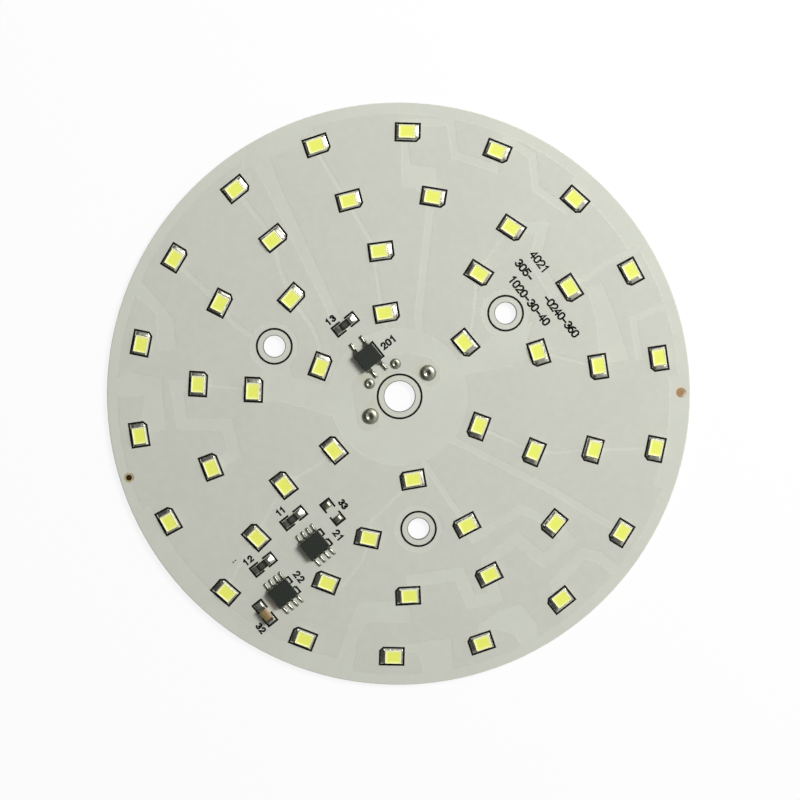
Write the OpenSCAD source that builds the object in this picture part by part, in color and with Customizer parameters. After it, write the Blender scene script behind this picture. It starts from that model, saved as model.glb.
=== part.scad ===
// Round LED lamp module: an aluminium-core circuit board with four rings of surface-mount LEDs,
// a bridge rectifier, two driver chips and their resistors and capacitor.
// The origin is the centre of the back face, and the components are on +Z.

/* [Board] */
// Outside diameter of the board
board_d = 120; // [118:0.5:126]
// Thickness of the aluminium base
base_t = 1.0; // [0.8:0.1:2]
// Thickness of the insulating resin on the base
insulation_t = 0.1; // [0.06:0.02:0.2]
// Thickness of the copper foil
copper_t = 0.035; // [0.035:0.005:0.07]
// Thickness of the white mask where it covers copper
mask_t = 0.03; // [0.02:0.005:0.045]
// Thickness of the printed ink
ink_t = 0.02; // [0.01:0.005:0.03]
// Bare rim between the copper and the board's edge
copper_edge = 2.4; // [2:0.1:2.8]
// Bare rim on the sides where the copper stops short
copper_edge_wide = 4.3; // [4.1:0.1:4.6]

/* [Holes] */
// Diameter of the hole in the middle
centre_hole_d = 6.3; // [5:0.1:7]
// Diameter of each screw hole
mount_hole_d = 4.4; // [3.4:0.1:5]
// Diameter of the circle that the screw holes lie on
mount_circle_d = 55.4; // [54:0.2:57]
// Bare copper-free margin round a screw hole
mount_margin = 2.9; // [2:0.1:3.2]
// Distance from a hole's edge to the middle of its printed ring
hole_ring_gap = 1.38; // [0.8:0.02:1.6]
// Distance that the mask stays back from a hole's edge
mask_pullback = 0.15; // [0.1:0.05:0.4]

/* [LED rings] */
// Radius of the first ring of LEDs as a share of the board's radius
ring_1_share = 0.29; // [0.288:0.001:0.3]
// Radius of the second ring of LEDs as a share of the board's radius
ring_2_share = 0.5; // [0.494:0.001:0.506]
// Radius of the third ring of LEDs as a share of the board's radius
ring_3_share = 0.69; // [0.684:0.001:0.696]
// Radius of the outer ring of LEDs as a share of the board's radius
ring_4_share = 0.9; // [0.894:0.001:0.906]

/* [LED package] */
// Length of the LED's white housing
led_l = 3.5; // [3.3:0.05:3.7]
// Width of the LED's white housing
led_w = 2.8; // [2.6:0.05:2.9]
// Height of the LED's white housing
led_h = 0.75; // [0.6:0.05:0.95]
// Width of the white rim round the phosphor
led_rim = 0.2; // [0.12:0.02:0.3]
// Distance that the cup's walls lean in towards its floor
led_cup_lean = 0.2; // [0.1:0.02:0.3]
// Distance that the housing's outer walls lean in towards the top
led_draft = 0.08; // [0.04:0.01:0.12]
// Drop of the phosphor below the rim
phosphor_drop = 0.03; // [0.01:0.01:0.08]
// Thickness of the lead frame
led_lead_t = 0.15; // [0.1:0.01:0.2]
// Width of the lead frame
led_lead_w = 2.0; // [1.6:0.1:2.3]
// Distance that each lead sticks out of its end
led_lead_out = 0.08; // [0.04:0.01:0.15]
// Gap between the two leads
led_lead_gap = 0.5; // [0.3:0.05:0.8]
// Length of the light-emitting chip
chip_l = 0.8; // [0.4:0.05:1]
// Width of the light-emitting chip
chip_w = 0.45; // [0.3:0.05:0.8]
// Height of the light-emitting chip
chip_h = 0.15; // [0.1:0.01:0.2]

/* [Solder] */
// Thickness of solder between the copper and what stands on it
solder_t = 0.05; // [0.05:0.005:0.08]
// Length of the LED's long pad beyond its housing
led_pad_long = 0.75; // [0.6:0.05:0.8]
// Length of the LED's short pad beyond its housing
led_pad_short = 0.28; // [0.2:0.02:0.34]
// Width of the LED's pads
led_pad_w = 2.9; // [2.5:0.05:3]
// Gap between the LED's two pads
led_pad_gap = 0.7; // [0.6:0.05:0.9]
// Height of solder above the copper where it thins out
solder_toe = 0.045; // [0.035:0.005:0.05]
// Outside diameter of the two large solder rings for the supply wires
land_d = 3.4; // [2.8:0.1:3.5]
// Outside diameter of the two small solder rings
small_land_d = 2.3; // [1.8:0.1:2.4]
// Height of the large solder rings
land_h = 0.55; // [0.3:0.05:0.7]
// Height of the small solder rings
small_land_h = 0.35; // [0.2:0.05:0.5]

/* [Print] */
// Width of the printed lines
line_w = 0.4; // [0.3:0.02:0.42]
// Gap between the side of a pad and its printed outline
outline_gap = 0.12; // [0.06:0.02:0.2]
// Cut corner of the LED's printed outline, which marks its polarity
outline_cut = 0.8; // [0.4:0.1:1]

/* [Bridge rectifier] */
// Length of the rectifier's body
bridge_l = 4.6; // [4.4:0.1:4.8]
// Width of the rectifier's body
bridge_w = 4.1; // [3.8:0.1:4.3]
// Height of the rectifier's top above its feet
bridge_h = 1.5; // [1.2:0.1:2]
// Distance between its neighbouring leads
bridge_pitch = 2.6; // [2.3:0.1:2.8]
// Distance over the tips of its leads
bridge_span = 6.9; // [6.6:0.1:7.2]
// Width of its leads
bridge_lead_w = 0.65; // [0.5:0.05:0.8]

/* [Driver chips] */
// Length of a driver chip's body
driver_l = 4.9; // [4.7:0.1:5]
// Width of a driver chip's body
driver_w = 4.0; // [3.8:0.1:4.1]
// Height of its top above its feet
driver_h = 1.5; // [1.2:0.1:1.8]
// Distance between its neighbouring leads
driver_pitch = 1.27; // [1.2:0.01:1.3]
// Distance over the tips of its leads
driver_span = 6.1; // [5.8:0.1:6.4]
// Width of its leads
driver_lead_w = 0.42; // [0.3:0.02:0.5]

/* [Moulded cases] */
// Clearance under a moulded case
case_lift = 0.1; // [0.05:0.05:0.2]
// Distance that a case's walls lean in from its parting line
case_lean = 0.14; // [0.05:0.01:0.2]
// Thickness of the leads
case_lead_t = 0.2; // [0.15:0.01:0.25]
// Radius of a lead's bends, at the middle of its thickness
case_lead_bend = 0.2; // [0.16:0.01:0.24]
// Length of a lead's foot
case_foot = 0.6; // [0.4:0.05:0.7]
// Distance from a case to the first bend of its leads
case_lead_knee = 0.2; // [0.15:0.01:0.25]
// Depth that each lead reaches into its case
case_grip = 0.4; // [0.2:0.05:0.6]
// Width of solder that shows on each side of a lead
lead_solder_side = 0.12; // [0.05:0.01:0.15]
// Length of solder past the tips of the leads
lead_solder_toe = 1.0; // [0.4:0.05:1.05]

/* [Chip resistors and capacitor] */
// Length of a chip part
chip_part_l = 3.2; // [3:0.1:3.3]
// Width of a chip part
chip_part_w = 1.6; // [1.4:0.05:1.65]
// Height of a chip resistor
resistor_h = 0.55; // [0.45:0.05:0.7]
// Height of the chip capacitor
capacitor_h = 1.25; // [0.8:0.05:1.6]
// Length of a chip part's metal ends
end_l = 0.5; // [0.3:0.05:0.6]
// Thickness of the metal on the ends
end_t = 0.03; // [0.02:0.01:0.05]
// Thickness of the dark coat on a resistor
coat_t = 0.02; // [0.01:0.01:0.03]
// Distance between the inner edges of a chip part's pads
chip_pad_gap = 2.2; // [1.8:0.1:2.3]
// Distance over the outer edges of a chip part's pads
chip_pad_span = 5.04; // [4.8:0.02:5.2]
// Width of a chip part's pads
chip_pad_w = 1.65; // [1.6:0.05:1.75]
// Break in the middle of a chip part's printed outline
outline_break = 1.1; // [0.6:0.1:1.4]
// Height of the solder that climbs a metal end
end_solder_h = 0.35; // [0.2:0.05:0.5]

/* [Hidden] */
$fn = 96;

// Heights of the layers above the back face
insulation_z = base_t;
copper_z = insulation_z + insulation_t;
copper_top = copper_z + copper_t;
mask_top = copper_top + mask_t;
ink_top = mask_top + ink_t;
seat_z = copper_top + solder_t;
// The mask in the gaps laps a little way up the copper's edge
mask_lap = 0.008;

board_r = board_d / 2;

// Screw holes, counted from +X
mount_count = 3;
mount_start = 29.6;
mount_circle_r = mount_circle_d / 2;

// Each ring of LEDs: radius, number of LEDs, angle of the first one
rings = [
    [ring_1_share * board_r, 6, 31.2],
    [ring_2_share * board_r, 9, 9.2],
    [ring_3_share * board_r, 15, 0.2],
    [ring_4_share * board_r, 18, 0],
];
// LEDs that were set down off their marks: ring, number in the ring, clockwise and outward shift
strays = [
    [1, 0, -0.15, -0.2], [1, 1, -0.25, 0.05], [1, 3, 0.15, 0.2], [1, 4, 0.25, -0.1],
    [2, 0, -0.15, -0.25], [2, 1, 0.3, 0], [2, 2, -0.25, 0.1], [2, 3, -0.2, 0],
    [2, 4, -0.1, 0.2], [2, 7, 0.1, 0.1], [3, 5, -0.4, -0.15], [3, 6, 0.1, 0.1],
    [3, 7, 0.15, 0.05], [3, 13, 0, 0.2], [3, 14, 0.05, 0.2], [4, 4, 0, 0.15],
    [4, 13, 0, 0.1], [4, 15, 0, -0.2],
];
led_pad_mid = -0.45;
// The cut corner inside the outline's line, and the long pad's corner, which stops at that line
outline_inner_cut = outline_cut - line_w * (2 - sqrt(2));
led_pad_cut = outline_inner_cut - outline_gap;

// Places of the other parts, all set square to one slanted grid. A driver chip stands between two
// rings, and its resistor, capacitor and spare pads go with it.
part_turn = 30;
bridge_at = [-5.2, 9];
driver_at = [
    ((rings[1][0] + rings[2][0]) / 2 - 0.4) * [cos(-128), sin(-128)],
    ((rings[2][0] + rings[3][0]) / 2 - 0.5) * [cos(-129.1), sin(-129.1)],
];
// Steps along and across the grid by which the driver chips sit off the middle of their pads
driver_shift = [-0.1, 0.15];
resistor_at = [
    beside(driver_at[0], [0, 7.2]),
    beside(driver_at[1], [0.45, 7.2]),
    beside(bridge_at, [0.5, 8.15]),
];
capacitor_at = beside(driver_at[1], [-5.6, -0.85]);
// How far each resistor sits along the grid off the middle of its pads
resistor_slip = [-0.35, -0.3, -0.15];
// How far the capacitor sits across the grid off the middle of its pads, towards -Y
capacitor_slip = 0.35;
spare_at = beside(driver_at[0], [7.05, 3.2]);
land_at = [[6.5, 3.9], [-6.55, -3.15]];
small_land_at = [[0.15, 6.75], [-5.75, 3.5]];
sight_at = [[0.96, -0.132] * board_r, [-0.958, -0.137] * board_r];
sight_r = 0.6;
sight_opening_r = 1.05;
outline_side = 0.08;

// Gaps in the copper that keep one width: width, then the points along its middle.
// These and the bare areas are laid out for the drawn size of board, and grow with it.
drawn_d = 120;
layout = board_d / drawn_d;
gaps = [
    [1.9, [[12.2, 38.5], [11.7, 36.2], [6.5, 16.5], [5.8, 10]]],
    [1.0, [[-9.3, 56], [-9, 51.5], [-4.8, 41.5], [-0.2, 30.5], [-0.9, 27], [-0.8, 19.5], [-0.4, 14]]],
    [1.9, [[9.2, 53], [9.4, 55], [18.6, 54], [18.6, 47.2], [26.2, 43.4], [27, 46.8]]],
    [1.9, [[27, 46.8], [29.4, 48.6], [34.2, 44.8], [34, 38], [39.4, 32.8], [41.4, 34.7]]],
    [1.5, [[37.9, 16.9], [42.5, 18.8], [46.5, 21], [55, 23.2]]],
    [1.7, [[50.2, 0], [50, 8.6], [54.5, 9.8], [58, 10.6]]],
    [0.9, [[29.6, 4.8], [32, 3.9], [41.4, 0]]],
    [1.2, [[-27, 46.8], [-25.2, 44], [-20.7, 35.9], [-20.3, 30], [-18.8, 23.3]]],
    [1.3, [[-41.4, 34.7], [-39.3, 31.8], [-33.5, 24.3], [-31.4, 20], [-26, 15]]],
    [1.2, [[-18.8, 23.3], [-15.4, 16.6], [-14.7, 12.5], [-14.9, 8.9]]],
    [1.8, [[8.5, -9.8], [13.5, -13.2], [29, -24.4], [41.4, -34.7]]],
    [0.9, [[14.9, -8.4], [18, -10.3], [25.7, -15.4], [30, -16.2], [37.9, -16.9], [50.7, -18.4], [56, -19]]],
    [1.5, [[3, -14], [5.3, -19], [9.8, -28.4]]],
    [2.2, [[9.8, -28.4], [11, -31.4], [21.5, -26.8], [27.7, -30.8]]],
    [2.8, [[12.8, -39.4], [13, -36.4], [19.8, -32.8], [24.6, -38.2], [30.4, -34.9], [27.7, -30.8]]],
    [2.9, [[12.8, -39.4], [13.6, -44.2], [8.4, -44.4], [6.9, -38.2], [-4.3, -38.2]]],
    [2.6, [[27, -46.8], [26.4, -43.2], [33.2, -37.9], [36, -39.2], [41.4, -45]]],
    [1.0, [[-14.9, -9], [-18.4, -11.3], [-26.2, -14.5], [-33.5, -24.3], [-37.5, -29.5], [-41.4, -34.7]]],
    [0.9, [[-29.4, 5.6], [-32.5, 6.7], [-40.5, 8.6]]],
    [2.8, [[-40.5, 8.6], [-44.9, 9], [-44.9, 1.2], [-35.8, -0.4], [-35.2, -6.6], [-40.5, -8.6]]],
    [1.0, [[16.3, 10.5], [17.8, 14.5], [19.5, 22.7], [27.7, 30.8]]],
    [2.6, [[27.7, 30.8], [34.3, 30], [31.6, 23.5], [34.4, 16.8], [37.9, 16.9]]],
    [0.9, [[0.4, -17.4], [-5, -21.5], [-9.5, -24.5], [-10.3, -28.2], [-12.5, -32.5], [-17.6, -37.5]]],
];
// Wider bare areas, each by its corners
bare_areas = [
    [[-25, 50.4], [-22.3, 50.6], [-20.4, 45], [-10.8, 15], [-8.6, 15], [-17.6, 46.5], [-18.7, 52.1],
     [-12.4, 53.5], [-11.8, 55.4], [-9.3, 55.6], [-9, 60], [-24, 60]],
    [[8, 52], [9.5, 52], [9.5, 46.8], [14.6, 45.2], [14.2, 41.5], [12.8, 38], [11, 38.5], [9.8, 41.4],
     [6.8, 42.4], [7.2, 46.3]],
    [[41.3, 16.5], [44.8, 17], [46.4, 11], [48.2, 0.3], [41.8, 0.3], [42.2, 10]],
    [[12, 2.3], [24, 2.6], [29, 4.5], [28, 8], [30, 11.5], [21, 9.5], [12, 5]],
    [[-29, 3.2], [-24, 2.4], [-12, -3.1], [-12, 4], [-20.8, 7.4], [-21.2, 10], [-27, 10]],
    [[-53.8, 0.3], [-48.2, 0.3], [-47.6, 11.2], [-54, 13.4], [-57, 12.4], [-57, 8.4], [-51.6, 8]],
    [[-47.6, 16.4], [-43.6, 16.2], [-43.2, 22.5], [-44.6, 25.2], [-48.5, 31.5], [-51, 29], [-46.9, 24.3],
     [-47.3, 20.4]],
    [[-14.6, -40.6], [-4.3, -42.2], [-4.3, -47], [-13.2, -45.4], [-16, -49], [-18.3, -56], [-23, -56],
     [-18.6, -47.5]],
    [[-8, -50.8], [3.4, -51], [2.6, -60], [-3.5, -60], [-4, -53.5], [-8, -52.4]],
    [[8.3, -53], [9.2, -49.4], [13.5, -47], [18.6, -46.2], [21.4, -50.8], [21.2, -57], [17.8, -57],
     [16.3, -52.6], [12.5, -50.9]],
];
// Bare middle of the board and the two tracks that cross it to the wire lands
middle_r = 14.4;
tracks = [
    [[-9.2, 4.2], [-9.2, -4.6], [-7.6, -6], [-5, -5.4], [-5.1, 2], [-3.6, 3.6], [-3.2, 6],
     [-5.6, 6.6], [-7.6, 5.6]],
    [[-2.8, 7.4], [-1.2, 8.4], [3, 8.5], [7.4, 6.8], [8.9, 4.6], [8.7, 2], [6.5, 1.3], [5.2, 2.2],
     [4.4, 3.8], [2.6, 5.2], [-1, 5.2], [-2.6, 5]],
];
// Sides where the copper stops short of the edge: first and last angle
wide_edges = [[195, 251], [-28, -4], [24, 43]];

// Place that lies off another along the slanted grid
function beside(place, off) = place + [
    off[0] * cos(part_turn) - off[1] * sin(part_turn), off[0] * sin(part_turn) + off[1] * cos(part_turn),
];
function unit(v) = v / norm(v);
function left(v) = [-v[1], v[0]];
// Half the width of a stroke at point i, square to it and mitred where it bends
function mitre(p, i, w) =
    let (
        a = unit(p[max(i, 1)] - p[max(i, 1) - 1]),
        b = unit(p[min(i, len(p) - 2) + 1] - p[min(i, len(p) - 2)]),
        m = unit(left(a) + left(b))
    ) m * w / 2 / (m * left(a));
function stroke(p, w) = [
    for (i = [0:len(p) - 1]) p[i] + mitre(p, i, w),
    for (i = [len(p) - 1:-1:0]) p[i] - mitre(p, i, w),
];
// Corner b between a and c, rounded to radius r
function bend(a, b, c, r, steps = 4) =
    let (
        u = unit(a - b),
        v = unit(c - b),
        half = acos(u * v) / 2,
        centre = b + unit(u + v) * r / sin(half),
        first = b + u * r / tan(half) - centre,
        last = b + v * r / tan(half) - centre,
        sweep = 180 - 2 * half
    )
    [
        for (i = [0:steps])
            let (past = i / steps * sweep)
            centre + (sin(sweep - past) * first + sin(past) * last) / sin(sweep)
    ];
function ring_angle(ring, i) = rings[ring - 1][2] + i * 360 / rings[ring - 1][1];
function stray(ring, i) =
    let (found = [for (s = strays) if (s[0] == ring && s[1] == i) [s[2], s[3]]])
    len(found) > 0 ? found[0] : [0, 0];

// Puts its children at each LED mark of a ring, with +X clockwise and +Y outward
module each_mark(ring) {
    for (i = [0:rings[ring - 1][1] - 1]) {
        rotate(ring_angle(ring, i) - 90) translate([0, rings[ring - 1][0]]) children();
    }
}
// Puts its children where each LED of a ring really sits
module each_led(ring, z = 0) {
    for (i = [0:rings[ring - 1][1] - 1]) {
        rotate(ring_angle(ring, i) - 90) {
            translate([stray(ring, i)[0], rings[ring - 1][0] + stray(ring, i)[1], z]) children();
        }
    }
}
module each_mount() {
    for (i = [0:mount_count - 1]) {
        rotate(mount_start + i * 360 / mount_count) translate([mount_circle_r, 0]) children();
    }
}
// Puts its children at a part's place, along the slanted grid or across it
module at_part(place, across = false, z = 0) {
    translate([place[0], place[1], z]) rotate(part_turn - (across ? 90 : 0)) children();
}
module each_chip_place() {
    for (p = resistor_at) {
        at_part(p) children();
    }
    for (p = [capacitor_at, spare_at]) {
        at_part(p, across = true) children();
    }
}

// Solid whose four walls lean in towards its top
module leaning_block(l, w, h, lean) {
    intersection() {
        rotate([90, 0, 0]) {
            linear_extrude(w + 1, center = true) {
                polygon([[-l / 2, 0], [l / 2, 0], [l / 2 - lean, h], [-l / 2 + lean, h]]);
            }
        }
        rotate([90, 0, 90]) {
            linear_extrude(l + 1, center = true) {
                polygon([[-w / 2, 0], [w / 2, 0], [w / 2 - lean, h], [-w / 2 + lean, h]]);
            }
        }
    }
}

// Board layers
module drilled_disc(d, extra = 0) {
    difference() {
        circle(d = d);
        circle(d = centre_hole_d + 2 * extra);
        each_mount() circle(d = mount_hole_d + 2 * extra);
    }
}
module wide_edge(first, last) {
    outer = board_r + 1;
    steps = 6;
    difference() {
        polygon([
            [0, 0],
            for (k = [0:steps])
                let (a = first + k * (last - first) / steps) [cos(a), sin(a)] * outer * 1.1
        ]);
        circle(board_r - copper_edge_wide);
    }
}
module copper_shape() {
    difference() {
        circle(board_r - copper_edge);
        circle(middle_r);
        each_mount() circle(mount_hole_d / 2 + mount_margin);
        for (g = gaps) {
            polygon(stroke(g[1] * layout, g[0]));
        }
        for (corners = bare_areas) {
            polygon(corners * layout);
        }
        for (e = wide_edges) {
            wide_edge(e[0], e[1]);
        }
        sight_shapes(sight_opening_r);
    }
    for (corners = tracks) {
        polygon(corners);
    }
    pad_shapes(0.3);
}

// Pads, which are openings in the mask with copper under them
module cut_corner_shape(x0, x1, y0, y1, cut) {
    polygon([[x0, y0], [x1 - cut, y0], [x1, y0 + cut], [x1, y1], [x0, y1]]);
}
module led_pad_shapes(grow) {
    g = grow / 2;
    long_end = led_l / 2 + led_pad_long;
    short_end = -led_l / 2 - led_pad_short;
    inner = led_pad_gap / 2;
    side = led_pad_w / 2;
    for (ring = [1:len(rings)]) {
        each_mark(ring) {
            cut_corner_shape(led_pad_mid + inner - g, long_end + g, -side - g, side + g, led_pad_cut);
            translate([short_end - g, -side - g]) {
                square([led_pad_mid - inner - short_end + grow, led_pad_w + grow]);
            }
        }
    }
}
module lead_pad_shapes(pitch, count, span, lead_w, grow) {
    w = lead_w + 2 * lead_solder_side + grow;
    reach = case_foot + 0.3 + lead_solder_toe + grow;
    middle = span / 2 + lead_solder_toe - reach / 2 + grow / 2;
    for (side = [-1, 1], i = [0:count - 1]) {
        translate([(i - (count - 1) / 2) * pitch, side * middle]) square([w, reach], center = true);
    }
}
module pad_shapes(grow = 0) {
    led_pad_shapes(grow);
    at_part(bridge_at) lead_pad_shapes(bridge_pitch, 2, bridge_span, bridge_lead_w, grow);
    for (p = driver_at) {
        at_part(p) lead_pad_shapes(driver_pitch, 4, driver_span, driver_lead_w, grow);
    }
    each_chip_place() {
        for (side = [-1, 1]) {
            translate([side * (chip_pad_span + chip_pad_gap) / 4, 0]) {
                square([(chip_pad_span - chip_pad_gap) / 2 + grow, chip_pad_w + grow], center = true);
            }
        }
    }
    for (p = land_at) {
        translate(p) circle(d = land_d + grow);
    }
    for (p = small_land_at) {
        translate(p) circle(d = small_land_d + grow);
    }
}
module sight_shapes(r) {
    for (p = sight_at) {
        translate(p) circle(r);
    }
}

module base_plate() {
    color("#b9bbbd") linear_extrude(base_t) drilled_disc(board_d);
}
module insulation_layer() {
    color("#cfcabd") translate([0, 0, insulation_z]) linear_extrude(insulation_t) drilled_disc(board_d);
}
module copper_circuit() {
    color("#b87a4b") translate([0, 0, copper_z]) linear_extrude(copper_t) {
        copper_shape();
        sight_shapes(sight_r);
    }
}
module solder_mask() {
    color("#c9c9bf") {
        translate([0, 0, copper_z]) linear_extrude(copper_t + mask_lap) {
            difference() {
                drilled_disc(board_d - 2 * mask_pullback, mask_pullback);
                copper_shape();
                sight_shapes(sight_opening_r);
            }
        }
        translate([0, 0, copper_top]) linear_extrude(mask_t) {
            difference() {
                copper_shape();
                pad_shapes();
            }
        }
    }
}

// Printed marks
module led_outlines() {
    x0 = -led_l / 2 - led_pad_short;
    x1 = led_l / 2 + led_pad_long;
    y1 = led_pad_w / 2 + outline_gap;
    color("#17181a") translate([0, 0, mask_top]) linear_extrude(ink_t) {
        for (ring = [1:len(rings)]) {
            each_mark(ring) {
                difference() {
                    cut_corner_shape(x0 - line_w, x1 + line_w, -y1 - line_w, y1 + line_w, outline_cut);
                    cut_corner_shape(x0, x1, -y1, y1, outline_inner_cut);
                }
            }
        }
    }
}
module ring_shape(r) {
    difference() {
        circle(r + line_w / 2);
        circle(r - line_w / 2);
    }
}
module hole_rings() {
    color("#17181a") translate([0, 0, mask_top]) linear_extrude(ink_t) {
        ring_shape(centre_hole_d / 2 + hole_ring_gap);
        each_mount() ring_shape(mount_hole_d / 2 + hole_ring_gap);
    }
}
// Rectangular printed line with a break across the middle of its long sides
module bracket_pair_shape(l, w) {
    difference() {
        square([l + line_w, w + line_w], center = true);
        square([l - line_w, w - line_w], center = true);
        square([outline_break, w + 2 * line_w], center = true);
    }
}
// Printed line along one end of a case, with its ends turned back
module end_mark_shape(x, y0, y1, back) {
    translate([x, y0]) square([line_w, y1 - y0]);
    for (y = [y0, y1 - line_w]) {
        translate([x - back, y]) square([back + line_w / 2, line_w]);
    }
}
module part_outlines() {
    bridge_side = 2.05;
    driver_side = driver_w / 2 + 0.15;
    driver_notch = 0.5;
    color("#17181a") translate([0, 0, mask_top]) linear_extrude(ink_t) {
        each_chip_place() bracket_pair_shape(chip_pad_span + line_w, chip_pad_w + 2 * outline_side + line_w);
        at_part(bridge_at) end_mark_shape(bridge_l / 2 + 0.1, -bridge_side, bridge_side, 0.3);
        for (p = driver_at) {
            at_part(p) {
                end_mark_shape(driver_l / 2 + 0.2, driver_notch, driver_side, 0.15);
                end_mark_shape(driver_l / 2 + 0.2, -driver_side, -driver_notch, 0.15);
            }
        }
    }
}

// LEDs
module led_cup() {
    translate([0, 0, led_h]) mirror([0, 0, 1]) {
        leaning_block(led_l - 2 * led_rim, led_w - 2 * led_rim, led_h - led_lead_t, led_cup_lean);
    }
}
module led_lead_pair() {
    reach = led_l / 2 + led_lead_out;
    for (span = [[-reach, led_pad_mid - led_lead_gap / 2], [led_pad_mid + led_lead_gap / 2, reach]]) {
        translate([span[0], -led_lead_w / 2, 0]) cube([span[1] - span[0], led_lead_w, led_lead_t]);
    }
}
module led_chip() {
    translate([0.3, 0, led_lead_t + chip_h / 2]) cube([chip_l, chip_w, chip_h], center = true);
}
module led_leads(ring) {
    color("#c8c8c4") each_led(ring, seat_z) led_lead_pair();
}
module led_housings(ring) {
    color("#f4f3ea") each_led(ring, seat_z) {
        difference() {
            leaning_block(led_l, led_w, led_h, led_draft);
            led_cup();
            led_lead_pair();
        }
    }
}
module led_chips(ring) {
    color("#7d8aa0") each_led(ring, seat_z) led_chip();
}
module led_phosphors(ring) {
    color("#e3ea62") each_led(ring, seat_z) {
        difference() {
            led_cup();
            translate([-led_l / 2, -led_w / 2, led_h - phosphor_drop]) cube([led_l, led_w, led_h]);
            led_chip();
        }
    }
}
// Side view of solder on a pad: flat under the lead, then a hollow slope from its end to the pad's end
function solder_profile(start, lead_end, pad_end, rise) =
    let (run = pad_end - lead_end)
    run < 0.08
        ? [[start, 0], [pad_end, 0], [pad_end, solder_t], [start, solder_t]]
        : [
            [start, 0], [pad_end, 0], [pad_end, solder_toe],
            [lead_end + 0.55 * run, solder_toe + 0.12 * rise],
            [lead_end + 0.22 * run, solder_toe + 0.42 * rise],
            [lead_end, solder_toe + rise],
            [lead_end, solder_t], [start, solder_t],
        ];
module solder_strip(start, lead_end, pad_end, rise, w) {
    rotate([90, 0, 0]) linear_extrude(w, center = true) {
        polygon(solder_profile(start, lead_end, pad_end, rise));
    }
}
module led_solder(ring) {
    rise = led_lead_t;
    reach = led_l / 2 + led_lead_out;
    long_end = led_l / 2 + led_pad_long;
    short_end = led_l / 2 + led_pad_short;
    color("#d2d3d1") {
        for (i = [0:rings[ring - 1][1] - 1]) {
            shift = stray(ring, i)[0];
            rotate(ring_angle(ring, i) - 90) translate([0, rings[ring - 1][0], copper_top]) {
                difference() {
                    solder_strip(led_pad_mid + led_pad_gap / 2, reach + shift, long_end, rise, led_pad_w);
                    translate([long_end, -led_pad_w / 2, solder_t]) rotate(45) {
                        cube([2, led_pad_cut * sqrt(2), 1], center = true);
                    }
                }
                mirror([1, 0, 0]) {
                    solder_strip(led_pad_gap / 2 - led_pad_mid, reach - shift, short_end, rise, led_pad_w);
                }
            }
        }
    }
}

// Moulded cases on bent leads
module case_moulding(l, w, h) {
    parting = (case_lift + h) / 2;
    function outline(size) = [
        [-size / 2 + case_lean, case_lift], [size / 2 - case_lean, case_lift], [size / 2, parting],
        [size / 2 - case_lean, h], [-size / 2 + case_lean, h], [-size / 2, parting],
    ];
    intersection() {
        rotate([90, 0, 0]) linear_extrude(w + 1, center = true) polygon(outline(l));
        rotate([90, 0, 90]) linear_extrude(l + 1, center = true) polygon(outline(w));
    }
}
module bent_lead(w, h, span, lead_w) {
    parting = (case_lift + h) / 2;
    inner = [w / 2 - case_grip, parting];
    knee = [w / 2 + case_lead_knee, parting];
    heel = [span / 2 - case_foot, case_lead_t / 2];
    tip = [span / 2, case_lead_t / 2];
    middle = concat(
        [inner], bend(inner, knee, heel, case_lead_bend), bend(knee, heel, tip, case_lead_bend), [tip]
    );
    rotate([90, 0, 90]) linear_extrude(lead_w, center = true) polygon(stroke(middle, case_lead_t));
}
module lead_rows(w, h, span, lead_w, pitch, count) {
    for (turn = [0, 180], i = [0:count - 1]) {
        rotate(turn) translate([(i - (count - 1) / 2) * pitch, 0, 0]) bent_lead(w, h, span, lead_w);
    }
}
// Solder on the lead pads of a case that sits off their middle by a step across the rows
module lead_solder(span, lead_w, pitch, count, shift = 0) {
    w = lead_w + 2 * lead_solder_side;
    start = span / 2 - case_foot - 0.3;
    end = span / 2 + lead_solder_toe;
    for (side = [1, -1], i = [0:count - 1]) {
        rotate(side * 90) translate([0, (i - (count - 1) / 2) * pitch, 0]) {
            solder_strip(start, span / 2 + side * shift, end, case_lead_t * 0.8, w);
        }
    }
}
module bridge_rows() {
    lead_rows(bridge_w, bridge_h, bridge_span, bridge_lead_w, bridge_pitch, 2);
}
module bridge_body() {
    color("#26282a") at_part(bridge_at, z = seat_z) {
        difference() {
            case_moulding(bridge_l, bridge_w, bridge_h);
            bridge_rows();
        }
    }
}
module bridge_leads() {
    color("#b9bab6") at_part(bridge_at, z = seat_z) bridge_rows();
}
module bridge_solder() {
    color("#d2d3d1") at_part(bridge_at, z = copper_top) {
        lead_solder(bridge_span, bridge_lead_w, bridge_pitch, 2);
    }
}
module driver_rows() {
    lead_rows(driver_w, driver_h, driver_span, driver_lead_w, driver_pitch, 4);
}
module driver_body(place) {
    color("#26282a") at_part(beside(place, driver_shift), z = seat_z) {
        difference() {
            case_moulding(driver_l, driver_w, driver_h);
            driver_rows();
        }
    }
}
module driver_leads(place) {
    color("#b9bab6") at_part(beside(place, driver_shift), z = seat_z) driver_rows();
}
module driver_solder(place) {
    color("#d2d3d1") at_part(place, z = copper_top) {
        lead_solder(driver_span, driver_lead_w, driver_pitch, 4, driver_shift[1]);
    }
}

// Chip resistors, the chip capacitor and their solder
module chip_block(h, grow = 0) {
    translate([-chip_part_l / 2 - grow, -chip_part_w / 2, end_t - grow]) {
        cube([chip_part_l + 2 * grow, chip_part_w, h - 2 * end_t + 2 * grow]);
    }
}
module metal_ends(h) {
    difference() {
        chip_block(h, end_t);
        chip_block(h);
        translate([-chip_part_l / 2 + end_l, -chip_part_w, -1]) {
            cube([chip_part_l - 2 * end_l, 2 * chip_part_w, h + 2]);
        }
    }
}
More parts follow.
